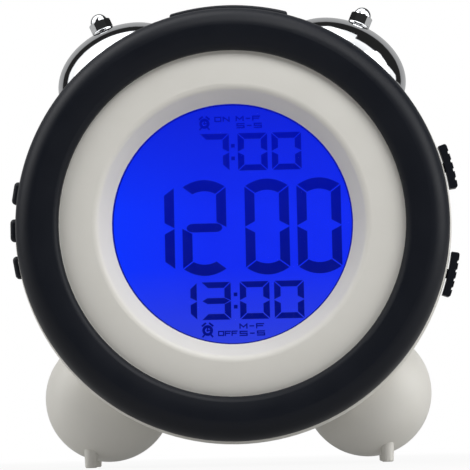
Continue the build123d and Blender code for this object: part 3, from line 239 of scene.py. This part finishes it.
def display_glass():
    """Glass with lit liquid crystal: a deep blue that clouds a little from place to place."""
    made, tree, shader, place = start_material(
        "backlit_display_glass",
        Base_Color=linear("#05081C"),
        Roughness=0.25,
        Specular_IOR_Level=0.03,
        Emission_Strength=1.0,
    )
    axes = add(tree, "SeparateXYZ", {"Vector": place})
    left = add(
        tree,
        "MapRange",
        {"Value": axes.outputs["X"], 1: LAMP_GLOW_FROM * MM, 2: -DISPLAY_RADIUS * MM, 3: 0.0, 4: 1.0},
    )
    low = add(
        tree,
        "MapRange",
        {
            "Value": axes.outputs["Z"],
            1: DIAL_AXIS.z + PALE_GLOW_FROM * MM,
            2: DIAL_AXIS.z - DISPLAY_RADIUS * MM,
            3: 0.0,
            4: 1.0,
        },
    )
    high = add(
        tree,
        "MapRange",
        {
            "Value": axes.outputs["Z"],
            1: DIAL_AXIS.z + DIM_GLOW_FROM * MM,
            2: DIAL_AXIS.z + DISPLAY_RADIUS * MM,
            3: 0.0,
            4: 1.0,
        },
    )
    cloud = add(tree, "TexNoise", {"Vector": place, "Scale": 1 / MURA_SIZE, "Detail": 2.0})
    glow = add(
        tree, "Mix", {0: cloud.outputs["Fac"], 6: linear("#1029EE"), 7: linear("#132DF6")}, data_type="RGBA"
    )
    lamp = add(
        tree, "Mix", {0: left.outputs[0], 6: glow.outputs[2], 7: linear("#0A32FF")}, data_type="RGBA"
    )
    dim = add(
        tree, "Mix", {0: high.outputs[0], 6: lamp.outputs[2], 7: linear("#0F22D8")}, data_type="RGBA"
    )
    pale = add(
        tree, "Mix", {0: low.outputs[0], 6: dim.outputs[2], 7: linear("#2D3FDC")}, data_type="RGBA"
    )
    tree.links.new(pale.outputs[2], shader.inputs["Emission Color"])
    return made


def display_film():
    """Dark liquid crystal: what is switched on blocks most of the light, more so lower down."""
    made, tree, shader, place = start_material(
        "dark_liquid_crystal",
        Base_Color=linear("#04060F"),
        Roughness=0.4,
        Specular_IOR_Level=0.03,
        Emission_Strength=1.0,
    )
    axes = add(tree, "SeparateXYZ", {"Vector": place})
    rise = add(
        tree,
        "MapRange",
        {
            "Value": axes.outputs["Z"],
            1: DIAL_AXIS.z + DARK_FILM_AT * MM,
            2: DIAL_AXIS.z + LIGHT_FILM_AT * MM,
            3: 0.0,
            4: 1.0,
        },
    )
    tone = add(
        tree, "Mix", {0: rise.outputs[0], 6: linear("#010D80"), 7: linear("#000EAE")}, data_type="RGBA"
    )
    tree.links.new(tone.outputs[2], shader.inputs["Emission Color"])
    return made


def clear_acrylic():
    """Acrylic has an index of 1.49; a coating against glare cuts its reflection, so 1.2 stands for both."""
    made, tree, shader, place = start_material(
        "coated_clear_acrylic",
        Base_Color=linear("#FFFFFF"),
        IOR=1.2,
        Transmission_Weight=1.0,
    )
    wipes = add(tree, "TexNoise", {"Vector": place, "Scale": 1 / WIPE_SIZE, "Detail": 3.0})
    sheen = add(tree, "MapRange", {"Value": wipes.outputs["Fac"], 3: 0.0, 4: 0.012})
    tree.links.new(sheen.outputs["Result"], shader.inputs["Roughness"])
    return made


lit_glass = display_glass()
segment_film = display_film()
acrylic = clear_acrylic()
print("display materials:", lit_glass.name, segment_film.name, acrylic.name)

# %% [markdown]
# ## Inside the case
# Little of the inside shows until the battery door is off, but each piece still has its own stuff:
# milky polystyrene behind the glass, small clear lamps, striped rubber that carries the display's
# signals, a green board with its tracks, black epoxy parts, printed battery cells and plain nylon.

# %% Inner finishes
TRACK_PITCH = 2.5 * MM
TRACK_EDGE = 0.06
TRACK_CLEAR = 0.1
RUBBER_STRIPE = 1.2 * MM
WAVE_REPEAT = 0.314  # the length of one wave at scale 1, which is 2 pi over 20
LAMP_CLOUD = 1 * MM
FILLER_FLECK = 0.3 * MM
COPPER_END_FROM = 12 * MM
NYLON_CLOUD = 2 * MM


def milky_styrene():
    """Moulded polystyrene with a white filler: light goes into it and spreads, so its edges look soft."""
    made, tree, shader, place = start_material(
        "milky_polystyrene", Roughness=0.3, IOR=1.59, Subsurface_Weight=0.3, Subsurface_Scale=2 * MM
    )
    cloud = add(tree, "TexNoise", {"Vector": place, "Scale": 1 / HANDLING_SIZE})
    tone = add(
        tree, "Mix", {0: cloud.outputs["Fac"], 6: linear("#DDE4EE"), 7: linear("#EEF2F7")}, data_type="RGBA"
    )
    tree.links.new(tone.outputs[2], shader.inputs["Base Color"])
    return made


def lamp_epoxy():
    """Cast epoxy of the small lamps: glossy, pale and a little blue."""
    made, tree, shader, place = start_material("clear_lamp_epoxy", Roughness=0.12, IOR=1.54)
    cloud = add(tree, "TexNoise", {"Vector": place, "Scale": 1 / LAMP_CLOUD})
    tone = add(
        tree, "Mix", {0: cloud.outputs["Fac"], 6: linear("#C9D4EC"), 7: linear("#E3EAF7")}, data_type="RGBA"
    )
    tree.links.new(tone.outputs[2], shader.inputs["Base Color"])
    return made


def striped_rubber():
    """Layers of conductive and plain silicone; the real ones are 0.1 mm, drawn wider to show."""
    made, tree, shader, place = start_material("striped_silicone_rubber", Roughness=0.7, IOR=1.41)
    wave = add(
        tree, "TexWave", {"Vector": place, "Scale": WAVE_REPEAT / RUBBER_STRIPE}, bands_direction="X"
    )
    tone = add(
        tree, "Mix", {0: wave.outputs["Fac"], 6: linear("#26262A"), 7: linear("#8C8A88")}, data_type="RGBA"
    )
    tree.links.new(tone.outputs[2], shader.inputs["Base Color"])
    return made


def circuit_board():
    """Fibreglass under green solder mask: satin, with paler lines where copper tracks lie below."""
    made, tree, shader, place = start_material("green_masked_fibreglass", Roughness=0.35, IOR=1.55)
    cells = add(
        tree,
        "TexVoronoi",
        {"Vector": place, "Scale": 1 / TRACK_PITCH, "Randomness": 0.35},
        distance="MANHATTAN",
        feature="DISTANCE_TO_EDGE",
    )
    track = add(tree, "MapRange", {"Value": cells.outputs["Distance"], 1: TRACK_EDGE, 2: TRACK_CLEAR})
    tone = add(
        tree, "Mix", {0: track.outputs[0], 6: linear("#3C8A4C"), 7: linear("#1F5C33")}, data_type="RGBA"
    )
    tree.links.new(tone.outputs[2], shader.inputs["Base Color"])
    return made


def black_epoxy():
    """Moulded chip bodies: matt black with a fine fleck of filler."""
    made, tree, shader, place = start_material("black_epoxy", Roughness=0.5, IOR=1.55)
    fleck = add(tree, "TexNoise", {"Vector": place, "Scale": 1 / FILLER_FLECK})
    tone = add(
        tree, "Mix", {0: fleck.outputs["Fac"], 6: linear("#1B1B1D"), 7: linear("#2C2C2F")}, data_type="RGBA"
    )
    tree.links.new(tone.outputs[2], shader.inputs["Base Color"])
    return made


def cell_jacket():
    """A shrunk plastic jacket: dark along most of the can, with a copper-coloured end."""
    made, tree, shader, place = start_material("printed_cell_jacket", Roughness=0.25, Metallic=0.6)
    axes = add(tree, "SeparateXYZ", {"Vector": place})
    band = add(tree, "Math", {0: axes.outputs["X"], 1: COPPER_END_FROM}, operation="GREATER_THAN")
    tone = add(
        tree, "Mix", {0: band.outputs[0], 6: linear("#1D2B33"), 7: linear("#B5764A")}, data_type="RGBA"
    )
    tree.links.new(tone.outputs[2], shader.inputs["Base Color"])
    return made


def natural_nylon():
    """Undyed nylon: cream, waxy and slightly see-through at thin edges."""
    made, tree, shader, place = start_material("natural_nylon", Roughness=0.4, Subsurface_Weight=0.1)
    cloud = add(tree, "TexNoise", {"Vector": place, "Scale": 1 / NYLON_CLOUD})
    tone = add(
        tree, "Mix", {0: cloud.outputs["Fac"], 6: linear("#D8D0B8"), 7: linear("#E6DFCA")}, data_type="RGBA"
    )
    tree.links.new(tone.outputs[2], shader.inputs["Base Color"])
    return made


INNER_FINISHES = {
    "light_spreader": milky_styrene(),
    "lamp": lamp_epoxy(),
    "strip_rubber": striped_rubber(),
    "board": circuit_board(),
    "component_black": black_epoxy(),
    "cell_jacket": cell_jacket(),
    "crank_plastic": natural_nylon(),
}
print("inner finishes:", [finish.name for finish in INNER_FINISHES.values()])

# %% [markdown]
# ## Giving the frame its finishes
# The record names a slot for every node, so the finishes go on by slot, in one loop.

# %% Finishes by slot
FINISH_OF_SLOT = {
    "black_plastic": black_abs,
    "white_plastic": white_abs,
    "clear_window": acrylic,
    "lcd_glass": lit_glass,
    "steel": zinc,
    "bell_chrome": chrome,
    **INNER_FINISHES,
}
for row in record["subparts"]:
    mesh = frame["nodes"][row["node"]].data
    mesh.materials.clear()
    mesh.materials.append(FINISH_OF_SLOT[row["material_slot"]])
print("finishes on", len(record["subparts"]), "nodes")

# %% [markdown]
# ## What the display shows
# Digits on such a display are seven segments of liquid crystal with hairline gaps. They are thin film
# just in front of the glass. The big digits have crowned tops and bottoms, and the small ones are
# straight, so each kind has a function that returns the outline of its segments.

# %% A film from outlines
FILM_GAP = 0.04 * MM
FILM_THICKNESS = 0.06 * MM
FILM_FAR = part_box("lcd_panel")[0].y - FILM_GAP
FILM_NEAR = FILM_FAR - FILM_THICKNESS


def film(name, outlines):
    """One thin piece of display film from flat outlines in millimetres about the dial axis."""
    shape = bmesh.new()
    for outline in outlines:
        flat = [(DIAL_AXIS.x + x * MM, DIAL_AXIS.z + h * MM) for x, h in outline]
        near = [shape.verts.new((x, FILM_NEAR, z)) for x, z in flat]
        far = [shape.verts.new((x, FILM_FAR, z)) for x, z in flat]
        shape.faces.new(near)
        shape.faces.new(far[::-1])
        for i in range(len(near)):
            j = (i + 1) % len(near)
            shape.faces.new((near[i], far[i], far[j], near[j]))
    bmesh.ops.recalc_face_normals(shape, faces=shape.faces)
    bmesh.ops.triangulate(shape, faces=[f for f in shape.faces if len(f.verts) > 4])
    mesh = bpy.data.meshes.new(name)
    shape.to_mesh(mesh)
    shape.free()
    mesh.materials.append(segment_film)
    made = bpy.data.objects.new(name, mesh)
    bpy.context.scene.collection.objects.link(made)
    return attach(made, "case")


print("film is", round(FILM_THICKNESS / MM, 2), "mm thick,", round(FILM_GAP / MM, 2), "mm off the glass")

# %% [markdown]
# The segments of a figure have letters, from a at the top round to f, with g in the middle. Only three of
# them differ: the others are mirror images, so drawing a, b and g gives the whole figure.

# %% Segment outlines
SEGMENTS_OF = {"0": "abcdef", "1": "bc", "2": "abdeg", "3": "abcdg", "7": "abc"}


def mirrored(points, across=1, up=1):
    """The outline flipped left to right with across -1, or top to bottom with up -1."""
    return [(x * across, h * up) for x, h in points]


def segment_set(top, upper_right, middle):
    """All seven segments from the three that differ."""
    return {
        "a": top,
        "b": upper_right,
        "c": mirrored(upper_right, up=-1),
        "d": mirrored(top, up=-1),
        "e": mirrored(upper_right, across=-1, up=-1),
        "f": mirrored(upper_right, across=-1),
        "g": middle,
    }


def crowned_segments(half_width, half_height, stroke, gap):
    """Big digits: the top is a shallow crown, the middle bar has round ends."""
    crown_drop = 1.9
    crown_thick = 3.1
    inner_drop = 0.8
    tip_cut = 1.45
    half_steps = 6
    inner = half_width - stroke
    inner_corner = half_height - crown_thick - inner_drop
    outer_corner = half_height - crown_drop
    steps = [i / half_steps - 1 for i in range(2 * half_steps + 1)]
    reach = half_width - gap
    rim = [(t * reach, half_height - crown_drop * t * t) for t in steps]
    reach_in = inner - gap
    belly = [(t * reach_in, half_height - crown_thick - inner_drop * t * t) for t in steps]
    side = [
        (inner, inner_corner - gap),
        (half_width, outer_corner - gap),
        (half_width, gap / 2),
        (inner, gap / 2 + tip_cut),
    ]
    bar_half = 1.2
    cap_inset = 0.3
    cap_length = 1.85
    cap_steps = 8
    cap_start = inner - cap_inset
    turn = [math.pi * i / cap_steps - math.pi / 2 for i in range(cap_steps + 1)]
    cap = [(cap_start + cap_length * math.cos(a), bar_half * math.sin(a)) for a in turn]
    return segment_set(rim + belly[::-1], side, cap + mirrored(cap, across=-1)[::-1])


def straight_segments(half_width, half_height, stroke, gap):
    """Small digits: straight bars with mitred corners."""
    level_share = 0.92
    tip_gaps = 1.5
    inner = half_width - stroke
    thick = stroke * level_share
    top = [
        (-half_width + gap, half_height),
        (half_width - gap, half_height),
        (inner - gap, half_height - thick),
        (-inner + gap, half_height - thick),
    ]
    side = [
        (half_width, half_height - gap),
        (half_width, gap / 2),
        (inner, gap / 2 + stroke / 2),
        (inner, half_height - thick - gap),
    ]
    bar = thick / 2
    tip = half_width - gap * tip_gaps
    middle = [(tip, 0), (inner, bar), (-inner, bar), (-tip, 0), (-inner, -bar), (inner, -bar)]
    return segment_set(top, side, middle)


print("figures:", " ".join(SEGMENTS_OF))

# %% [markdown]
# The display reads noon, with an alarm time above and another below. Each row is a list of figures and
# their places across the dial, so another time is a matter of changing a row.

# %% Time and alarms
BIG_DIGIT = crowned_segments(half_width=6.1, half_height=13.3, stroke=2.7, gap=0.24)
SMALL_DIGIT = straight_segments(half_width=4.1, half_height=5.2, stroke=1.75, gap=0.2)
BIG_ROW = (("1", -22.2), ("2", -7.8), ("0", 9.6), ("0", 24.0))
FIRST_ROW = (("7", -4.6), ("0", 6.0), ("0", 15.4))
SECOND_ROW = (("1", -14.4), ("3", -5.0), ("0", 5.7), ("0", 15.2))
BIG_HEIGHT = -0.9
FIRST_HEIGHT = 20.0
SECOND_HEIGHT = -21.2
COLON_HALF = 0.5


def digit(segments, figure, x, height):
    """The outlines of one figure, centred on a point of the dial."""
    return [
        [(x + px, height + ph) for px, ph in segments[letter]] for letter in SEGMENTS_OF[figure]
    ]


def colon(x, height, spread):
    """Two square dots, one above the other."""
    half = COLON_HALF
    box = [(-half, -half), (half, -half), (half, half), (-half, half)]
    return [[(x + px, height + side * spread + ph) for px, ph in box] for side in (-1, 1)]


def row_of_digits(segments, row, height):
    """The outlines of a whole row."""
    return [outline for figure, x in row for outline in digit(segments, figure, x, height)]


big_time = film("time_digits", row_of_digits(BIG_DIGIT, BIG_ROW, BIG_HEIGHT))
first = row_of_digits(SMALL_DIGIT, FIRST_ROW, FIRST_HEIGHT)
first_alarm = film("first_alarm_digits", first + colon(x=0.55, height=FIRST_HEIGHT, spread=1.75))
second = row_of_digits(SMALL_DIGIT, SECOND_ROW, SECOND_HEIGHT)
second_alarm = film("second_alarm_digits", second + colon(x=0.4, height=SECOND_HEIGHT, spread=1.7))
print("display films:", big_time.name, first_alarm.name, second_alarm.name)

# %% [markdown]
# ## Legends and icons
# Above and below the alarms the display has small legends: whether the alarm is on, and on which days
# it rings. A font would do, but a display's letters are etched as plain bars of one width, so each letter
# is a few strokes in a box from -1 to 1. A legend has its middle, the half width of a letter and the pitch.

# %% Legends
STROKES_OF = {
    "O": [((-1, -1), (-1, 1)), ((-1, 1), (1, 1)), ((1, 1), (1, -1)), ((1, -1), (-1, -1))],
    "N": [((-1, -1), (-1, 1)), ((-1, 1), (1, -1)), ((1, -1), (1, 1))],
    "F": [((-1, -1), (-1, 1)), ((-1, 1), (1, 1)), ((-1, 0), (0.7, 0))],
    "M": [((-1, -1), (-1, 1)), ((-1, 1), (0, -0.4)), ((0, -0.4), (1, 1)), ((1, 1), (1, -1))],
    "S": [((1, 1), (-1, 1)), ((-1, 1), (-1, 0)), ((-1, 0), (1, 0)), ((1, 0), (1, -1)), ((1, -1), (-1, -1))],
    "-": [((-0.5, 0), (0.5, 0))],
}
LETTER_HALF_HEIGHT = 0.55
LETTER_STROKE = 0.34
LEGENDS = (
    ("legend_on", "ON", -2.3, 29.2, 0.8, 2.3),
    ("legend_weekdays_first", "M-F", 4.9, 29.3, 0.95, 2.3),
    ("legend_weekend_first", "S-S", 5.2, 27.3, 0.95, 2.4),
    ("legend_off", "OFF", -1.95, -30.2, 0.68, 1.85),
    ("legend_weekdays_second", "M-F", 4.7, -28.3, 0.95, 2.3),
    ("legend_weekend_second", "S-S", 4.8, -30.3, 0.95, 2.4),
)


def stroke_outline(x0, h0, x1, h1, width):
    """A straight stroke from one point to another, half a width longer at each end."""
    along = Vector((x1 - x0, h1 - h0)).normalized() * (width / 2)
    side = Vector((-along.y, along.x))
    start = Vector((x0, h0)) - along
    stop = Vector((x1, h1)) + along
    return [tuple(start + side), tuple(stop + side), tuple(stop - side), tuple(start - side)]


def legend(name, word, x, height, half_wide, pitch):
    """A word of stroked capitals, centred on a point of the dial."""
    half_tall = LETTER_HALF_HEIGHT
    outlines = []
    for place, letter in enumerate(word):
        middle = x + (place - (len(word) - 1) / 2) * pitch
        for (ax, ah), (bx, bh) in STROKES_OF[letter]:
            outlines.append(
                stroke_outline(
                    middle + ax * half_wide,
                    height + ah * half_tall,
                    middle + bx * half_wide,
                    height + bh * half_tall,
                    LETTER_STROKE,
                )
            )
    return film(name, outlines)


for row in LEGENDS:
    legend(*row)
print("legends:", len(LEGENDS))

# %% [markdown]
# The icon beside each legend is a small clock, drawn from a ring, two bells, two legs and its hands. Its
# strokes are in radii of the ring: two points and a width. Bells and legs are mirrored, the hands aren't.

# %% Alarm icons
ICON_BORE = 0.48
ICON_BELL = (0.92, 0.88, 0.42, 1.28, 0.34)
ICON_LEG = (0.55, -0.75, 0.88, -1.12, 0.30)
ICON_HANDS = ((0.0, -0.1, 0.0, 0.6, 0.24), (-0.1, 0.0, 0.6, 0.0, 0.24))
ICONS = (("first_alarm_icon", -7.2, 28.1, 1.42), ("second_alarm_icon", -7.5, -29.3, 1.5))


def ring_outline(x, height, inner, outer, count=24):
    """A ring as a row of four-sided outlines."""
    turns = [2 * math.pi * i / count for i in range(count + 1)]
    return [
        [
            (x + r * math.cos(t), height + r * math.sin(t))
            for r, t in ((inner, a), (outer, a), (outer, b), (inner, b))
        ]
        for a, b in zip(turns, turns[1:])
    ]


def alarm_icon(name, x, height, radius):
    """A little twin bell clock: a thick ring, two hands and a slanted bar for each bell."""
    paired = [(side, *stroke) for side in (-1, 1) for stroke in (ICON_BELL, ICON_LEG)]
    single = [(1, *stroke) for stroke in ICON_HANDS]
    shapes = ring_outline(x, height, radius * ICON_BORE, radius)
    for side, ax, ah, bx, bh, width in paired + single:
        start = (x + side * radius * ax, height + radius * ah)
        stop = (x + side * radius * bx, height + radius * bh)
        shapes.append(stroke_outline(*start, *stop, radius * width))
    return film(name, shapes)


for row in ICONS:
    alarm_icon(*row)
print("alarm icons:", len(ICONS))

# %% [markdown]
# Where the glass meets the bezel's opening there is a thin gap in shadow. A dark ring of film round the
# glass's edge
# # is that painted shadow, and shows as a thin outline just inside the bezel's opening.

# %% Painted shadow at the display's edge
EDGE_SHADOW_INNER = 32.95
EDGE_SHADOW_OUTER = 34.2
EDGE_SHADOW_SIDES = 120
# A dark film ring round the glass's edge: painted shadow of the gap at the bezel's opening, not print.
film("display_edge_painted_shadow", ring_outline(0.0, 0.0, EDGE_SHADOW_INNER, EDGE_SHADOW_OUTER, count=EDGE_SHADOW_SIDES))
print("painted edge shadow from", EDGE_SHADOW_INNER, "to", EDGE_SHADOW_OUTER, "mm")

# %% [markdown]
# ## The studio
# A product on white is shot in a tent of white cloth. The camera sees plain white, but chrome needs
# something to mirror: in the photograph the bells have a grey edge, then a dark band, then white. So
# the world is such a tent, as a function of direction: a grey sheet behind the clock, a dark gap beyond
# its edge, wider at the upper right, white cloth above and at the sides, and a dark room in front. Only
# the camera's own rays see white. Mirrored rays see the tent, because white would wash the band out.
# The stops below pair a direction, from -1 in front to 1 behind, with the grey that is seen there.

# %% World
CLOTH = ((-1.0, 0.03), (-0.8, 0.03), (-0.55, 0.06), (-0.35, 0.5), (-0.1, 1.0), (0.38, 1.3), (0.42, 0.02))
BACK_SHEET = ((0.66, 0.0), (0.70, 0.32), (1.0, 0.45))
GAP_ON_RIGHT = 0.34
GAP_RIGHT_FROM = 0.05
GAP_RIGHT_FULL = 0.4
GAP_HEIGHT_FROM = 0.1
GAP_HEIGHT_FULL = 0.4

world = bpy.data.worlds.new("light_tent")
bpy.context.scene.world = world
world.use_nodes = True
tree = world.node_tree
tree.nodes.clear()
aim = add(tree, "SeparateXYZ", {"Vector": add(tree, "TexCoord").outputs["Generated"]})
shift = add(
    tree,
    "MapRange",
    {"Value": aim.outputs["X"], 1: GAP_RIGHT_FROM, 2: GAP_RIGHT_FULL, 3: 0.0, 4: GAP_ON_RIGHT},
)
above = add(
    tree, "MapRange", {"Value": aim.outputs["Z"], 1: GAP_HEIGHT_FROM, 2: GAP_HEIGHT_FULL, 3: 0.0, 4: 1.0}
)
wider = add(tree, "Math", {0: shift.outputs["Result"], 1: above.outputs["Result"]}, operation="MULTIPLY")
drawn = add(tree, "Math", {0: aim.outputs["Y"], 1: wider.outputs[0]}, operation="ADD")
greys = []
for direction, stops in ((drawn.outputs[0], CLOTH), (aim.outputs["Y"], BACK_SHEET)):
    share = add(tree, "MapRange", {"Value": direction, 1: -1.0, 2: 1.0, 3: 0.0, 4: 1.0})
    ramp = add(tree, "ValToRGB", {"Fac": share.outputs["Result"]})
    while len(ramp.color_ramp.elements) < len(stops):
        ramp.color_ramp.elements.new(1.0)
    for stop, (facing, grey) in zip(ramp.color_ramp.elements, stops):
        stop.position = (facing + 1) / 2
        stop.color = (grey, grey, grey, 1)
    greys.append(ramp.outputs["Color"])
both = add(tree, "Mix", {0: 1.0, 6: greys[0], 7: greys[1]}, data_type="RGBA", blend_type="ADD")
tent = add(tree, "Background", {"Color": both.outputs[2], "Strength": 1.0})
white = add(tree, "Background", {"Color": (1, 1, 1, 1), "Strength": 1.0})
rays = add(tree, "LightPath")
seen = add(tree, "MixShader", {0: rays.outputs["Is Camera Ray"], 1: tent.outputs[0], 2: white.outputs[0]})
add(tree, "OutputWorld", {"Surface": seen.outputs[0]})
print("cloth stops:", len(CLOTH), "sheet stops:", len(BACK_SHEET))

# %% [markdown]
# The table is pale and lit a little from below, so that the undersides of the feet don't go black. Near
# the clock it stays a real surface and keeps the shadow. Further out it fades to white, for the camera
# and for what shows through glass.

# %% Floor
FLOOR_RADIUS = 2.5
SHADOW_RADIUS = 0.09
FADE_RADIUS = 0.22
FLOOR_SIDES = 96
FLOOR_WHITE = 0.9
TABLE_GLOW = 0.2
TABLE_GRAIN = 3 * MM


def pale_floor():
    """A matt table that glows faintly and fades to white with the distance from the clock."""
    made, tree, shader, place = start_material(
        "pale_light_table", Roughness=0.6, Emission_Color=(1, 1, 1, 1), Emission_Strength=TABLE_GLOW
    )
    grain = add(tree, "TexNoise", {"Vector": place, "Scale": 1 / TABLE_GRAIN, "Detail": 3.0})
    tone = add(
        tree, "Mix", {0: grain.outputs["Fac"], 6: linear("#908F8D"), 7: linear("#969593")}, data_type="RGBA"
    )
    tree.links.new(tone.outputs[2], shader.inputs["Base Color"])
    away = add(tree, "VectorMath", {0: place}, operation="LENGTH")
    fade = add(
        tree,
        "MapRange",
        {"Value": away.outputs["Value"], 1: SHADOW_RADIUS, 2: FADE_RADIUS},
        interpolation_type="SMOOTHSTEP",
    )
    rays = add(tree, "LightPath")
    direct = add(
        tree,
        "Math",
        {0: rays.outputs["Is Camera Ray"], 1: rays.outputs["Is Transmission Ray"]},
        operation="MAXIMUM",
    )
    white = add(tree, "MapRange", {"Value": fade.outputs[0], 3: FLOOR_WHITE, 4: 1.0})
    share = add(tree, "Math", {0: direct.outputs[0], 1: white.outputs[0]}, operation="MULTIPLY")
    glow = add(tree, "Emission", {"Color": (1, 1, 1, 1), "Strength": 1.0})
    mixed = add(tree, "MixShader", {0: share.outputs[0], 1: shader.outputs[0], 2: glow.outputs[0]})
    tree.links.new(mixed.outputs[0], tree.nodes["Material Output"].inputs["Surface"])
    return made


disc = bmesh.new()
bmesh.ops.create_circle(disc, cap_ends=True, segments=FLOOR_SIDES, radius=FLOOR_RADIUS)
floor_mesh = bpy.data.meshes.new("floor")
disc.to_mesh(floor_mesh)
disc.free()
floor_mesh.materials.append(pale_floor())
floor = bpy.data.objects.new("floor", floor_mesh)
floor.location.z = cad_low.z
bpy.context.scene.collection.objects.link(floor)
print("table at", round(cad_low.z / MM, 2), "mm, shadow kept within", SHADOW_RADIUS / MM, "mm")

# %% [markdown]
# Four large soft lights do the modelling: one overhead for the tops, a key in front, and one at each side
# for the slopes of the black ring. The key stands high enough that the window doesn't mirror it, and far
# enough forward that the ring's shadow on the white bezel stays narrow. Each row has the light's place and
# the point that it faces, its width and depth in metres, and its watts.

# %% Softboxes
CLOCK_MIDDLE = (0, 0, 0.07)
UNDER_OVERHEAD = (0, 0.06, 0.08)
SOFTBOXES = (
    ("overhead_softbox", (-0.2, 0.06, 0.9), UNDER_OVERHEAD, 0.5, 1.4, 2.6),
    ("key_softbox", (0.20, -0.62, 0.80), CLOCK_MIDDLE, 0.8, 0.6, 4.3),
    ("left_softbox", (-0.75, -0.2, 0.6), CLOCK_MIDDLE, 0.8, 0.8, 2.4),
    ("right_softbox", (0.80, -0.22, 0.36), CLOCK_MIDDLE, 0.7, 0.8, 2.9),
)


def softbox(name, place, target, width, depth, watts):
    """A rectangular area light aimed at a point."""
    light = bpy.data.lights.new(name, "AREA")
    light.shape = "RECTANGLE"
    light.size = width
    light.size_y = depth
    light.energy = watts
    made = bpy.data.objects.new(name, light)
    made.location = place
    made.rotation_mode = "QUATERNION"
    made.rotation_quaternion = (Vector(target) - Vector(place)).to_track_quat("-Z", "Y")
    bpy.context.scene.collection.objects.link(made)
    return made


for row in SOFTBOXES:
    softbox(*row)
print("softboxes:", len(SOFTBOXES), "with", round(sum(row[-1] for row in SOFTBOXES), 1), "W in all")

# %% [markdown]
# ## Camera
# The photograph looks slightly up at the clock from the right, with a long lens and a little roll. The
# frame's width at the ring gives the focal length, because width over distance is sensor over lens.

# %% Camera
VIEW_DISTANCE = 0.700
VIEW_ELEVATION = math.radians(-4.3)
VIEW_AZIMUTH = math.radians(1.2)
VIEW_ROLL = math.radians(1.25)
FRAME_WIDTH = 129.7 * MM
AIM_RIGHT = 0.72 * MM
AIM_DOWN = 3.17 * MM
RING_WIDEST = 7.0

camera_data = bpy.data.cameras.new("camera")
camera_data.sensor_width = 36.0
camera_data.lens = camera_data.sensor_width * VIEW_DISTANCE / FRAME_WIDTH
camera = bpy.data.objects.new("camera", camera_data)
bpy.context.scene.collection.objects.link(camera)
back = Vector(
    (
        math.sin(VIEW_AZIMUTH) * math.cos(VIEW_ELEVATION),
        -math.cos(VIEW_AZIMUTH) * math.cos(VIEW_ELEVATION),
        math.sin(VIEW_ELEVATION),
    )
)
camera.rotation_mode = "QUATERNION"
camera.rotation_quaternion = (-back).to_track_quat("-Z", "Y") @ Quaternion((0, 0, 1), -VIEW_ROLL)
right = camera.rotation_quaternion @ Vector((1, 0, 0))
up = camera.rotation_quaternion @ Vector((0, 1, 0))
aimed = on_dial(0, RING_WIDEST, 0) + right * AIM_RIGHT - up * AIM_DOWN
camera.location = aimed + back * VIEW_DISTANCE
bpy.context.scene.camera = camera
bpy.context.scene.view_settings.view_transform = "Standard"
print("lens", round(camera_data.lens, 1), "mm")
